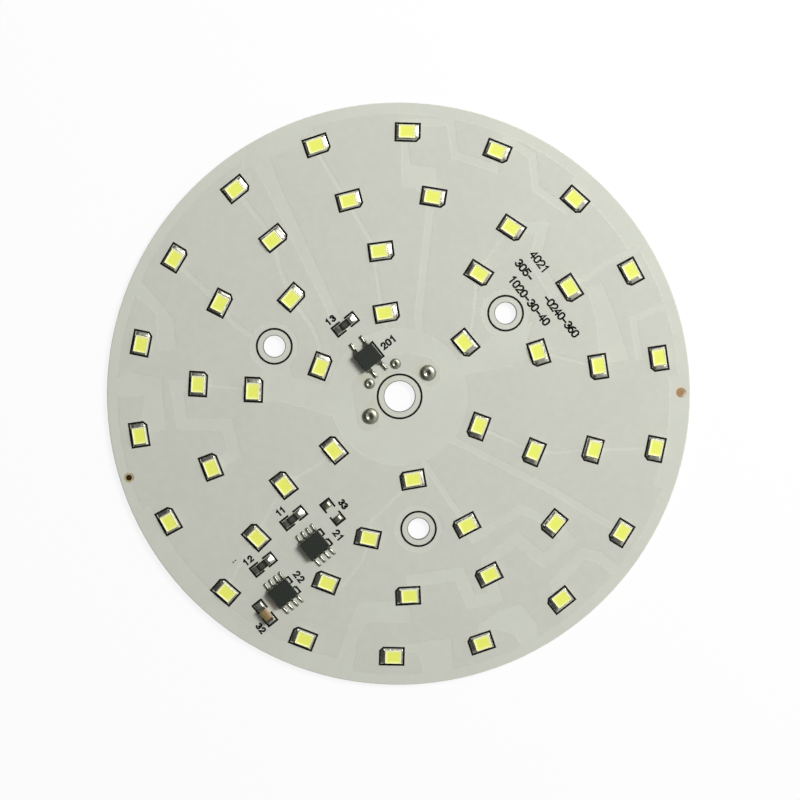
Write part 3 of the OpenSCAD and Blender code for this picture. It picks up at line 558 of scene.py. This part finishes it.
def closed_patch(x, y, z):
    """Closed skin over a grid of points: the grid as its top, a flat bottom at height 0 and walls."""
    rows, columns = x.shape
    top = np.stack([x, y, z], -1).reshape(-1, 3)
    i, j = np.meshgrid(np.arange(rows - 1), np.arange(columns - 1), indexing="ij")
    a = (i * columns + j).ravel()
    faces = np.c_[a, a + columns, a + columns + 1, a + 1].tolist()
    rim = np.concatenate([
        np.arange(rows) * columns,
        (rows - 1) * columns + np.arange(1, columns),
        np.arange(rows - 2, -1, -1) * columns + columns - 1,
        np.arange(columns - 2, 0, -1),
    ])
    n = len(rim)
    k = np.arange(n)
    faces += np.c_[rim[(k + 1) % n], rim[k], len(top) + k, len(top) + (k + 1) % n].tolist()
    faces.append((len(top) + k[::-1]).tolist())
    return np.concatenate([top, top[rim] * (1, 1, 0)]), faces


def quarter(t):
    """Height of a quarter of an ellipse: 1 where t is 0, falling to 0 where t is 1."""
    return np.sqrt(np.clip(1 - t ** 2, 0, 1))


def led_bed(start, wall, end, rise, cut=0.0, pits=()):
    """Height field of solder on an LED's pad. x runs from start, under the LED, past its wall to the pad's
    end, where the corner may be cut. The skin stands at rise against the wall, as wide as the lead, and
    falls as a power of the distance from it to a low crown on a thin toe. It rounds off at the pad's edges
    and sinks into the pits by a bell curve. It stands on a flat bottom at height 0, closed all round."""
    half, grip, toe, swell, rim = PAD_W / 2, 0.4 * LED_LEAD_W, 0.035, 0.045, 0.12
    x, v = np.meshgrid(np.linspace(start, end, 22), np.linspace(0, 1, 19), indexing="ij")
    low = -half + np.maximum(0, x - (end - cut))
    y = low + (half - low) * v
    fall = np.clip((x - wall) / (end - wall), 0, 1)
    body = (1 - fall) ** 1.7 * (1 - np.clip((np.abs(y) - grip) / (half - grip), 0, 1) ** 1.6)
    edge = np.clip((half - np.abs(y)) / rim, 0, 1) * np.clip((y - low) / rim, 0, 1)
    round_off = quarter(1 - np.minimum(np.clip((end - x) / rim, 0, 1), edge))
    crown = swell * quarter(y / half) * quarter(fall)
    z = toe * (0.55 + 0.45 * round_off) + ((rise - toe) * body + crown) * (0.25 + 0.75 * round_off)
    z = np.where(x < wall, np.minimum(z, UNDER_PART), z)
    for pit_x, pit_y, r, deep in pits:
        z = z - deep * np.exp(-((x - pit_x) ** 2 + (y - pit_y) ** 2) / r ** 2)
    return closed_patch(x, y, np.maximum(z, THIN_SKIN))


def pitting(points):
    """How deep in the pits each point of a long pad's solder lies, as a share of the deepest one."""
    deepest = max(pit[3] for pit in PITS)
    depth = np.zeros(len(points))
    for x, y, r, deep in PITS:
        depth += deep / deepest * np.exp(-((points[:, 0] - x) ** 2 + (points[:, 1] - y) ** 2) / r ** 2)
    return np.minimum(depth, 1)


def lifted(shape, x, y, turn, z):
    """The shape at a place on the board, raised by z."""
    v, f = shape
    v = placed(v, x, y, turn)
    v[:, 2] += z
    return v, f


# Solder mask, with the slopes that it has where it runs down from the copper into a gap

# How near to a level's height a corner counts as lying on it
NEAR = 0.0015


def welded(mesh):
    """A solid's corners in millimetres, each of them once, and its triangles."""
    flat = np.zeros(3 * len(mesh.vertices), np.float32)
    mesh.vertices.foreach_get("co", flat)
    index = np.zeros(len(mesh.loops), np.int32)
    mesh.loops.foreach_get("vertex_index", index)
    points, number = np.unique(flat.reshape(-1, 3), axis=0, return_inverse=True)
    return points.astype(float) / MM, number.ravel()[index].reshape(-1, 3)


def facing(points, tris):
    """Each triangle's direction outwards, of length 1."""
    a, b, c = points[tris].transpose(1, 0, 2)
    out = np.cross(b - a, c - a)
    return out / np.linalg.norm(out, axis=1)[:, None]


def rim_of(tris):
    """The rim round a set of triangles: those of their sides that no other triangle of the set shares."""
    sides = tris[:, [0, 1, 1, 2, 2, 0]].reshape(-1, 2)
    key = sides.max() + 1
    return sides[~np.isin(sides[:, 1] * key + sides[:, 0], sides[:, 0] * key + sides[:, 1])]


def into_gap(points, walls):
    """How far each corner of the upright walls moves into the gap beside them. It goes along the mean of
    its walls' directions, weighed by each triangle's angle at the corner. The slope's width over the
    length of that mean is the distance, which keeps the slope as wide in a corner as beside it, up to
    twice the width. A corner of no wall stays where it is."""
    across = facing(points, walls)[:, :2]
    total = np.zeros((len(points), 2))
    weight = np.full((len(points), 1), 1e-9)
    for k in range(3):
        corner, ahead, behind = np.roll(walls, k, axis=1).T
        one, other = points[ahead] - points[corner], points[behind] - points[corner]
        cosine = (one * other).sum(axis=1) / np.linalg.norm(one, axis=1) / np.linalg.norm(other, axis=1)
        angle = np.arccos(np.clip(cosine, -1, 1))[:, None]
        np.add.at(total, corner, across * angle)
        np.add.at(weight, corner, angle)
    mean = total / weight
    length = np.linalg.norm(mean, axis=1)[:, None]
    return mean / np.maximum(length, 0.001) * GAP_SLOPE / np.maximum(length, 0.5)


def filled(points, rim):
    """Triangles between the corners of a rim, and the corners that they add where it crosses itself. A
    triangle is kept where a line from its middle meets the rim an odd number of times."""
    corners, ends = np.unique(rim, return_inverse=True)
    flat = points[corners, :2].tolist()
    every_triangle, same_spot = 0, 1e-5
    spots, _, tris, sources, _, _ = delaunay_2d_cdt(
        flat, ends.reshape(-1, 2).tolist(), [], every_triangle, same_spot
    )
    spots, tris = np.array([spot[:] for spot in spots]), np.array(tris)
    own = np.array([corners[source[0]] if source else -1 for source in sources])
    new = own < 0
    own[new] = len(points) + np.arange(new.sum())
    x, y = spots[tris].mean(axis=1).T[:, :, None]
    (x1, y1), (x2, y2) = points[rim[:, 0], :2].T, points[rim[:, 1], :2].T
    between = (y1 > y) != (y2 > y)
    meets = x1 + (y - y1) * (x2 - x1) / np.where(y1 == y2, 1, y2 - y1)
    odd = (between & (x < meets)).sum(axis=1) % 2 == 1
    return np.c_[spots[new], np.full(new.sum(), GAP_SKIN)], own[tris[odd]]


def mask_face():
    """The mask's solid with softer gaps. The lower of its two levels is raised by three tenths of the
    step, as the real mask fills the gaps a little, and each lower corner of a step moves into the gap,
    which makes the step a slope 0.3 mm wide. The gaps' floors are made anew between the moved corners."""
    points, tris = welded(nodes["solder_mask"].data)
    up = facing(points, tris)[:, 2]
    z = points[:, 2]
    low = np.abs(z - GAP_TOP) < NEAR
    floor = low[tris].all(axis=1) & (up > 0.9)
    step = (z[tris].min(axis=1) > GAP_TOP - NEAR) & (z[tris].max(axis=1) > MASK_TOP - NEAR)
    move = into_gap(points, tris[step & (np.abs(up) < 0.2)])
    points[low, :2] += move[low]
    points[low, 2] = GAP_SKIN
    added, anew = filled(points, rim_of(tris[floor]))
    return np.r_[points, added], np.r_[tris[~floor], anew]


make_piece("mask_face", *mask_face(), MASK, "mask", ["solder_mask"], smooth=False)

# LEDs

housing = led_housing()
gel = led_gel()
for ring in (1, 2, 3, 4):
    places = led_places(ring)
    shapes = [lifted(housing, *place, SEAT) for place in places]
    make_piece(
        f"led_cups_ring_{ring}", *gathered(shapes), HOUSING, "led_housing", [f"led_housings_ring_{ring}"]
    )
    shapes = [lifted(gel[:2], *place, SEAT) for place in places]
    make_piece(
        f"led_gel_ring_{ring}", *gathered(shapes), PHOSPHOR, "phosphor", [f"led_phosphor_ring_{ring}"],
        uv=np.tile(gel[2], (len(places), 1)),
    )
    shapes, pits = [], []
    for x, y, turn, along in mark_places(ring):
        long_wall, short_wall = LED_REACH + along, min(LED_REACH - along, PAD_SHORT_END - 0.02)
        long_bed = led_bed(start=0.5, wall=long_wall, end=PAD_LONG_END, rise=0.2, cut=PAD_CUT, pits=PITS)
        short_bed = led_bed(start=1.0, wall=short_wall, end=PAD_SHORT_END, rise=0.19)
        shapes.append(lifted(long_bed, x, y, turn, COPPER_TOP))
        shapes.append(lifted(short_bed, x, y, turn + 180, COPPER_TOP))
        pits += [pitting(long_bed[0]), np.zeros(len(short_bed[0]))]
    make_piece(
        f"led_joints_ring_{ring}", *gathered(shapes), SOLDER, "solder", [f"led_solder_ring_{ring}"],
        pits=np.concatenate(pits),
    )


# Solder on the other pads

def lead_bed(heel, tip, end, half, off, lean, height):
    """Solder on a lead's pad. It covers the foot with a ridge whose section is half an ellipse, no wider
    than narrow on the side that the crest drifts from. The crest starts beside the foot's middle line by
    off, drifts by lean towards the pad's end, thins towards the heel and rounds off near the pad's end
    like a quarter of an ellipse."""
    back, front, climb_l, narrow = 0.3, 0.4, 0.45, 0.3
    across = half * np.sin(np.linspace(-np.pi / 2, np.pi / 2, 21))
    x, y = np.meshgrid(np.linspace(heel - back, end, 30), across, indexing="ij")
    climb = np.clip((x - heel + back) / climb_l, 0, 1)
    fall = np.clip((x - tip - front) / (end - tip - front), 0, 1)
    crest = (0.05 + height * climb ** 0.7) * quarter(fall)
    middle = off + lean * (x - heel) / (end - heel)
    left, right = half - middle, half + middle
    if lean < 0:
        right = np.minimum(narrow, right)
    else:
        left = np.minimum(narrow, left)
    aside = np.clip(np.where(y > middle, (y - middle) / left, (middle - y) / right), 0, 1)
    return closed_patch(x, y, 0.02 + crest * quarter(aside))


def lead_joints(place, pitch, count, span, lead_w, seed, shift=(0.0, 0.0)):
    """Solder over the foot of each lead, and in front of it, each one a little different."""
    chance = np.random.default_rng(seed)
    half = lead_w / 2 + 0.12
    shapes = []
    for turn, side in ((0, 1), (180, -1)):
        tip = span / 2 + side * shift[1]
        for i in range(count):
            lean, height, reach = chance.uniform((0.16, 0.3, 0.9), (0.24, 0.38, 1.0))
            end = span / 2 + reach
            v, f = lead_bed(tip - LEAD_FOOT, tip, end, half, -side * shift[0], -side * lean, height)
            v = placed(v, (i - (count - 1) / 2) * pitch, 0, 90)
            shapes.append(lifted((v, f), *place, TURN + turn, COPPER_TOP))
    return gathered(shapes)


bridge_joints = lead_joints(BRIDGE, *BRIDGE_LEADS, seed=3)
make_piece("bridge_joints", *bridge_joints, SATIN_SOLDER, "solder", ["bridge_solder"])
for n, place in enumerate(DRIVERS, 1):
    joints = lead_joints(place, *DRIVER_LEADS, seed=n, shift=DRIVER_SHIFT)
    make_piece(f"driver_{n}_joints", *joints, SATIN_SOLDER, "solder", [f"driver_{n}_solder"])


def chip_joint(place, turn, slip, height, sag=3.0, flat=0.48):
    """Solder at the end of a chip part that faces turn, when the part has slipped that way. From the
    part's end wall the skin falls to the pad's end by a power sag of the distance, and beyond flat on
    both sides it falls like a quarter of an ellipse. A sag near 1 makes it a slope. From 2 on the square
    root is taken too, which leaves a flat top with a steep round front."""
    wall = CHIP_HALF_L + slip
    reach = CHIP_PAD_OUT - wall
    under = np.linspace(CHIP_PAD_IN, wall - 0.03, 5)
    beyond = wall + reach * np.sin(np.linspace(0, np.pi / 2, 21))
    across = CHIP_PAD_HALF_W * np.sin(np.linspace(-np.pi / 2, np.pi / 2, 25))
    x, y = np.meshgrid(np.r_[under, beyond], across, indexing="ij")
    fall = np.clip((x - wall) / reach, 0, 1)
    aside = np.clip((np.abs(y) - flat) / (CHIP_PAD_HALF_W - flat), 0, 1)
    z = 0.03 + height * (1 - fall ** sag) ** (1 if sag < 2 else 0.5) * quarter(aside)
    z = np.where(x < wall - 0.02, np.minimum(z, UNDER_PART), z)
    return lifted(closed_patch(x, y, z), *place, turn, COPPER_TOP)


# The resistors beside the drivers have bright slopes at their right ends. The one beside the bridge has a
# frosted slope there, and all other ends have frosted cushions.
bright, frosted = [], []
for place, slip in zip(RESISTORS[:2], RESISTOR_SLIP):
    bright.append(chip_joint(place, TURN, slip, height=0.46, sag=1.1, flat=0.0))
frosted.append(chip_joint(RESISTORS[2], TURN, RESISTOR_SLIP[2], height=0.42, sag=1.1, flat=0.1))
for place, slip in zip(RESISTORS, RESISTOR_SLIP):
    frosted.append(chip_joint(place, TURN + 180, -slip, height=0.3))
frosted.append(chip_joint(CAPACITOR, TURN - 90, CAPACITOR_SLIP, height=0.34))
frosted.append(chip_joint(CAPACITOR, TURN + 90, -CAPACITOR_SLIP, height=0.3, flat=0.35))
make_piece("bright_chip_joints", *gathered(bright), CHIP_SOLDER, "solder", ["chip_solder"])
make_piece("frosted_chip_joints", *gathered(frosted), FROSTED_SOLDER, "solder", ["chip_solder"])


def pillow_pad(half_l, half_w, height):
    """Blob of solder on a bare pad: a flat top that rounds off on all four sides like quarters of an
    ellipse. It rounds off at once on one side of its middle line, and late on the other."""
    t = np.sin(np.linspace(-np.pi / 2, np.pi / 2, 31))
    x, y = np.meshgrid(t * half_l, t * half_w, indexing="ij")
    flat_l, early, late = 0.45 * half_l, -0.05, 0.55
    out_x = np.clip((np.abs(x) - flat_l) / (half_l - flat_l), 0, 1)
    out_y = np.where(y > 0, (y - early) / (half_w - early), (-y - late) / (half_w - late))
    return closed_patch(x, y, 0.02 + height * quarter(out_x) * quarter(np.clip(out_y, 0, 1)))


pad_middle = (CHIP_PAD_OUT + CHIP_PAD_IN) / 2
pad, pad_faces = pillow_pad((CHIP_PAD_OUT - CHIP_PAD_IN) / 2, CHIP_PAD_HALF_W, height=0.45)
shapes = []
for off in (-pad_middle, pad_middle):
    shapes.append(lifted((pad + (off, 0, 0), pad_faces), *SPARE, TURN - 90, COPPER_TOP))
make_piece("spare_domes", *gathered(shapes), SPARE_SOLDER, "solder", ["spare_pads"])


def solder_eyelet(radius, height):
    """Ring of solder: a profile turned about Z that rises from the pad's edge to a crest and falls to a
    dimple. The dimple's middle lies off the ring's, so each loop's centre moves towards it as the loops
    shrink, and the crest swells slowly round the ring."""
    k = np.r_[1, 0.99, 0.96, 0.92, 0.87, np.linspace(0.81, 0.57, 5), np.linspace(0.52, 0.07, 10), 0.03]
    crest = 0.44
    outer = np.clip(1 - ((k - crest) / (1 - crest)) ** 2, 0, 1) ** 0.55
    inner = 0.62 + 0.38 * np.sin(np.pi / 2 * np.clip(k / crest, 0, 1)) ** 2.2
    shape = np.where(k > crest, 0.06 + 0.94 * outer, inner) * height
    a = np.arange(72) * 2 * np.pi / 72
    swell = 1 + 0.04 * np.cos(a - 0.6) + 0.03 * np.cos(2 * a + 1.0)
    drift = radius * (1 - k) ** 1.5
    x = radius * k[:, None] * np.cos(a)[None, :] - 0.12 * drift[:, None]
    y = radius * k[:, None] * np.sin(a)[None, :] + 0.08 * drift[:, None]
    z = shape[:, None] * swell[None, :]
    loops = np.stack([x, y, z], -1)
    return lofted([loops[0] * (1, 1, 0), *loops])


def eyelets(name, lands, radius, height, off, node):
    """Rings of solder on the lands, each a little off the land's middle."""
    ring = solder_eyelet(radius, height)
    shapes = [lifted(ring, x + off[0], y + off[1], TURN, COPPER_TOP) for x, y in lands]
    make_piece(name, *gathered(shapes), DULL_SOLDER, "solder", [node])


eyelets("wire_eyelets", LANDS, radius=1.64, height=0.62, off=(-0.08, 0.03), node="wire_lands")
eyelets("small_eyelets", SMALL_LANDS, radius=1.06, height=0.4, off=(-0.07, 0.04), node="small_lands")


# Printed numbers

def arc(cx, cy, rx, ry, a0, a1, n=9):
    """Points along an ellipse's arc, angles in degrees."""
    t = np.radians(np.linspace(a0, a1, n))
    return np.c_[cx + rx * np.cos(t), cy + ry * np.sin(t)]


def digit_strokes():
    """Each character's strokes in a box 0.6 wide and 1 high."""
    line = np.array
    circle = arc(0.3, 0.3, 0.3, 0.3, 180, 530, 15)
    return {
        "0": [np.r_[arc(0.3, 0.7, 0.3, 0.3, 0, 180), arc(0.3, 0.3, 0.3, 0.3, 180, 360), [[0.6, 0.7]]]],
        "1": [line([[0.12, 0.8], [0.35, 1.0], [0.35, 0.0]])],
        "2": [np.r_[arc(0.3, 0.7, 0.3, 0.3, 170, -30), [[0.0, 0.0], [0.6, 0.0]]]],
        "3": [np.r_[arc(0.28, 0.74, 0.28, 0.26, 150, -80), arc(0.28, 0.27, 0.32, 0.27, 80, -150)]],
        "4": [line([[0.45, 0.0], [0.45, 1.0], [0.0, 0.3], [0.62, 0.3]])],
        "5": [np.r_[[[0.55, 1.0], [0.08, 1.0], [0.04, 0.55]], arc(0.28, 0.32, 0.32, 0.32, 110, -150)]],
        "6": [np.r_[[[0.5, 1.0]], arc(0.4, 0.4, 0.4, 0.55, 130, 180, 5), circle]],
        "7": [line([[0.0, 1.0], [0.6, 1.0], [0.2, 0.0]])],
        "8": [arc(0.3, 0.76, 0.25, 0.24, -90, 270, 13), arc(0.3, 0.27, 0.3, 0.27, 90, 450, 13)],
        "9": [np.r_[arc(0.3, 0.7, 0.3, 0.3, 350, 0, 13), arc(0.2, 0.6, 0.4, 0.55, 0, -50, 5)]],
        "-": [line([[0.05, 0.42], [0.55, 0.42]])],
    }


STROKES = digit_strokes()
CHAR_W = 0.6
# Text, middle, direction in degrees, height, length and stroke width of each printed line
PRINT = [
    ("201", -0.63, 11.36, 30, 1.25, 3.1, 0.38),
    ("13", -11.7, 17.6, 30, 1.15, 1.9, 0.38),
    ("11", -27.8, -19.8, 30, 1.15, 1.7, 0.38),
    ("12", -35.95, -28.87, 30, 1.15, 1.9, 0.38),
    ("21", -16.75, -26.5, -60, 1.25, 2.0, 0.38),
    ("22", -26.1, -33.8, -60, 1.25, 2.1, 0.38),
    ("33", -14.8, -20.3, -60, 1.15, 1.7, 0.38),
    ("32", -35.5, -43.2, -60, 1.15, 1.8, 0.38),
    ("4021", 32.5, 23.1, -60, 1.55, 4.7, 0.34),
    ("305-", 29.25, 21.85, -60, 1.5, 4.6, 0.38),
    ("1020-30-40", 29.3, 15.5, -60, 1.5, 12.0, 0.38),
    ("-0240-360", 35.35, 11.4, -60, 1.5, 10.2, 0.38),
]
# Middle and length of two ink specks, and their width
SPECKS = [(-39.02, -28.74, 0.2), (-38.55, -28.42, 0.14)]
SPECK_W = 0.21
# Legs of the bracket at a driver's right end, and the line below the driver: start and end along the grid,
# place across it, and width
DRIVER_LINES = [
    (2.3, 2.65, 2.1, 0.3), (2.3, 2.65, 0.68, 0.26), (2.3, 2.65, -0.4, 0.26), (-2.5, 2.65, -2.0, 0.3),
]
# How far specks and lines stay below the other ink, so that no two faces coincide
SPECK_LOW, LINE_LOW = 0.005, 0.003


def stroke_slab(points, width, low, high):
    """Flat strip along a path: each point moves half the width to either side along the mitre, and the
    path's ends run on by half the width."""
    p = np.array(points, float)
    ends = [p[0] - p[1], p[-1] - p[-2]]
    p[0] += ends[0] / np.linalg.norm(ends[0]) * width / 2
    p[-1] += ends[1] / np.linalg.norm(ends[1]) * width / 2
    d = np.diff(p, axis=0)
    d /= np.linalg.norm(d, axis=1)[:, None]
    before, after = np.r_[d[:1], d], np.r_[d, d[-1:]]
    m = before + after
    m /= np.linalg.norm(m, axis=1)[:, None]
    share = np.maximum(0.5, np.abs((m * after).sum(1)))
    side = np.c_[-m[:, 1], m[:, 0]] * (width / 2 / share)[:, None]
    left, right = p + side, p - side
    n = len(p)
    verts = np.r_[
        np.c_[left, np.full(n, high)], np.c_[right, np.full(n, high)],
        np.c_[left, np.full(n, low)], np.c_[right, np.full(n, low)],
    ]
    i = np.arange(n - 1)
    faces = np.r_[
        np.c_[i, i + n, i + n + 1, i + 1],
        np.c_[i + 2 * n, i + 2 * n + 1, i + 3 * n + 1, i + 3 * n],
        np.c_[i, i + 1, i + 2 * n + 1, i + 2 * n],
        np.c_[i + n, i + 3 * n, i + 3 * n + 1, i + n + 1],
    ].tolist()
    faces += [[0, 2 * n, 3 * n, n], [n - 1, 2 * n - 1, 4 * n - 1, 3 * n - 1]]
    return verts, faces


def printed(text, x, y, angle, height, length, width):
    """A line of characters centred on x, y, running at angle degrees."""
    pitch = (length - CHAR_W * height) / max(len(text) - 1, 1)
    shapes = []
    for k, char in enumerate(text):
        for stroke in STROKES[char]:
            flat = stroke * height
            flat[:, 0] += k * pitch - length / 2
            flat[:, 1] -= height / 2
            v, f = stroke_slab(flat, width, MASK_TOP, INK_TOP)
            shapes.append((placed(v, x, y, angle), f))
    return shapes


shapes = []
for line in PRINT:
    shapes += printed(*line)
for x, y, long in SPECKS:
    path = [[x - long / 2, y - 0.03], [x + long / 2, y + 0.03]]
    shapes.append(stroke_slab(path, SPECK_W, MASK_TOP, INK_TOP - SPECK_LOW))
for place in DRIVERS:
    for start, end, across, width in DRIVER_LINES:
        v, f = stroke_slab([[start, across], [end, across]], width, MASK_TOP, INK_TOP - LINE_LOW)
        shapes.append((placed(v, *place, TURN), f))
make_piece("printed_numbers", *gathered(shapes), INK, "ink", smooth=False)

# Finishes of the solids that stay

FINISH = {
    "base_plate": ALUMINIUM, "insulation_layer": RESIN, "copper_circuit": COPPER,
    "led_outlines": INK, "hole_rings": INK, "part_outlines": INK,
    "bridge_body": CASE, "driver_1_body": CASE, "driver_2_body": CASE,
    "bridge_leads": LEAD_TIN, "driver_1_leads": LEAD_TIN, "driver_2_leads": LEAD_TIN,
    "capacitor_body": CAPACITOR_CLAY, "capacitor_ends": CAPACITOR_ENDS,
}
for n in (1, 2, 3):
    FINISH[f"resistor_{n}_body"] = ALUMINA
    FINISH[f"resistor_{n}_coat"] = GLAZE
    FINISH[f"resistor_{n}_ends"] = SATIN_SOLDER
for n in (1, 2, 3, 4):
    FINISH[f"led_leads_ring_{n}"] = TIN
    FINISH[f"led_chips_ring_{n}"] = CHIP
for name, finish in FINISH.items():
    node = nodes[name]
    if not node.material_slots:
        node.data.materials.append(finish)
    for slot in node.material_slots:
        slot.material = finish

# Table

# Its radius and height in metres: it lies a tenth of a millimetre below the board's back
TABLE_RADIUS = 8.0
TABLE_TOP = -0.0001


def table():
    """Disc of pale table that looks white to the camera and to gloss, and keeps a soft shadow."""
    sides = 96
    a = np.arange(sides) * 2 * np.pi / sides
    mesh = bpy.data.meshes.new("table")
    verts = np.c_[TABLE_RADIUS * np.cos(a), TABLE_RADIUS * np.sin(a), np.full(sides, TABLE_TOP)]
    mesh.from_pydata(verts.tolist(), [], [list(range(sides))])
    s = Shader("white_table", Base_Color=(0.9, 0.9, 0.9), Roughness=0.7)
    path = s.add("ShaderNodeLightPath").outputs
    mirrored = s.maths("MAXIMUM", path["Is Glossy Ray"], path["Is Transmission Ray"])
    seen = s.maths("MAXIMUM", path["Is Camera Ray"], mirrored)
    glow = s.add("ShaderNodeEmission", Color=(1, 1, 1), Strength=1.0)
    mix = s.add("ShaderNodeMixShader")
    s.put(mix, "i0", s.maths("MULTIPLY", seen, 0.88))
    s.put(mix, "i1", s.surface.outputs[0])
    s.put(mix, "i2", glow.outputs[0])
    out = [n for n in s.tree.nodes if n.type == "OUTPUT_MATERIAL"][0]
    s.tree.links.new(mix.outputs[0], out.inputs["Surface"])
    mesh.materials.append(s.material)
    top = bpy.data.objects.new("table", mesh)
    bpy.context.scene.collection.objects.link(top)


table()

# Light: one soft window on the right, and a room that is dim on the left

WINDOW_AZIMUTH = 29.0
ROOM_AZIMUTH = -2.0


def stand(right, up, back, place):
    """Matrix of a lamp or a camera that stands at a place and looks away from back."""
    return Matrix([*zip(right, up, back, place), (0, 0, 0, 1)])


def window(name, azimuth, elevation, away, size, power):
    """Round area light, away metres from the board's middle and facing it."""
    a, e = np.radians(azimuth), np.radians(elevation)
    spot = np.array([np.cos(a) * np.cos(e), np.sin(a) * np.cos(e), np.sin(e)]) * away
    data = bpy.data.lights.new(name, "AREA")
    data.shape = "DISK"
    data.size = size
    data.energy = power
    lamp = bpy.data.objects.new(name, data)
    bpy.context.scene.collection.objects.link(lamp)
    back = spot / np.linalg.norm(spot)
    side = np.cross((0, 0, 1), back)
    side /= np.linalg.norm(side)
    lamp.matrix_world = stand(side, np.cross(back, side), back, spot)


window("window", WINDOW_AZIMUTH, elevation=48, away=0.72, size=0.3, power=4.75)


def room():
    """World light: pale near the horizon all round, above it dim on the left and bright on the right by
    the cosine of the angle from the bright side, and dim again straight overhead."""
    world = bpy.data.worlds.new("room")
    bpy.context.scene.world = world
    world.use_nodes = True
    tree = world.node_tree
    tree.nodes.clear()
    add = tree.nodes.new
    link = tree.links.new

    def ramp(value, low, high, to_low, to_high):
        node = add("ShaderNodeMapRange")
        node.interpolation_type = "SMOOTHSTEP"
        link(value, node.inputs["Value"])
        for key, bound in (("From Min", low), ("From Max", high), ("To Min", to_low), ("To Max", to_high)):
            node.inputs[key].default_value = bound
        return node.outputs[0]

    where = add("ShaderNodeTexCoord").outputs["Generated"]
    apart = add("ShaderNodeSeparateXYZ")
    link(where, apart.inputs[0])
    up = apart.outputs["Z"]
    lean = add("ShaderNodeVectorMath")
    lean.operation = "DOT_PRODUCT"
    link(where, lean.inputs[0])
    bright = np.radians(ROOM_AZIMUTH)
    lean.inputs[1].default_value = (np.cos(bright), np.sin(bright), 0)
    mix = add("ShaderNodeMix")
    link(ramp(up, 0.0, 0.12, 1.0, 0.0), mix.inputs[0])
    link(ramp(lean.outputs["Value"], -0.45, 0.85, 0.045, 0.79), mix.inputs[2])
    mix.inputs[3].default_value = 0.75
    dim = add("ShaderNodeMath")
    dim.operation = "MULTIPLY"
    link(mix.outputs[0], dim.inputs[0])
    link(ramp(up, 0.86, 0.97, 1.0, 0.6), dim.inputs[1])
    sky = add("ShaderNodeBackground")
    sky.inputs["Color"].default_value = (1, 1, 1, 1)
    link(dim.outputs[0], sky.inputs["Strength"])
    out = add("ShaderNodeOutputWorld")
    link(sky.outputs[0], out.inputs["Surface"])


room()

# Camera: over the board, a little up and left of its middle

FOCAL_PX = 1792.08
FRAME_PX = 800
SENSOR = 36.0
# Directions of the picture's right, of its top and from the board back to the camera
RIGHT = (0.988598, -0.148104, 0.027200)
UPWARD = (0.149468, 0.987073, -0.057844)
BACKWARD = (-0.018281, 0.061250, 0.997955)
CAMERA_PLACE = (-6.7847 * MM, 21.8379 * MM, 369.134 * MM)

data = bpy.data.cameras.new("camera")
data.sensor_width = SENSOR
data.lens = SENSOR * FOCAL_PX / FRAME_PX
data.clip_start = 0.01
data.clip_end = 30
camera = bpy.data.objects.new("camera", data)
bpy.context.scene.collection.objects.link(camera)
camera.matrix_world = stand(RIGHT, UPWARD, BACKWARD, CAMERA_PLACE)
bpy.context.scene.camera = camera
bpy.context.scene.view_settings.view_transform = "Standard"
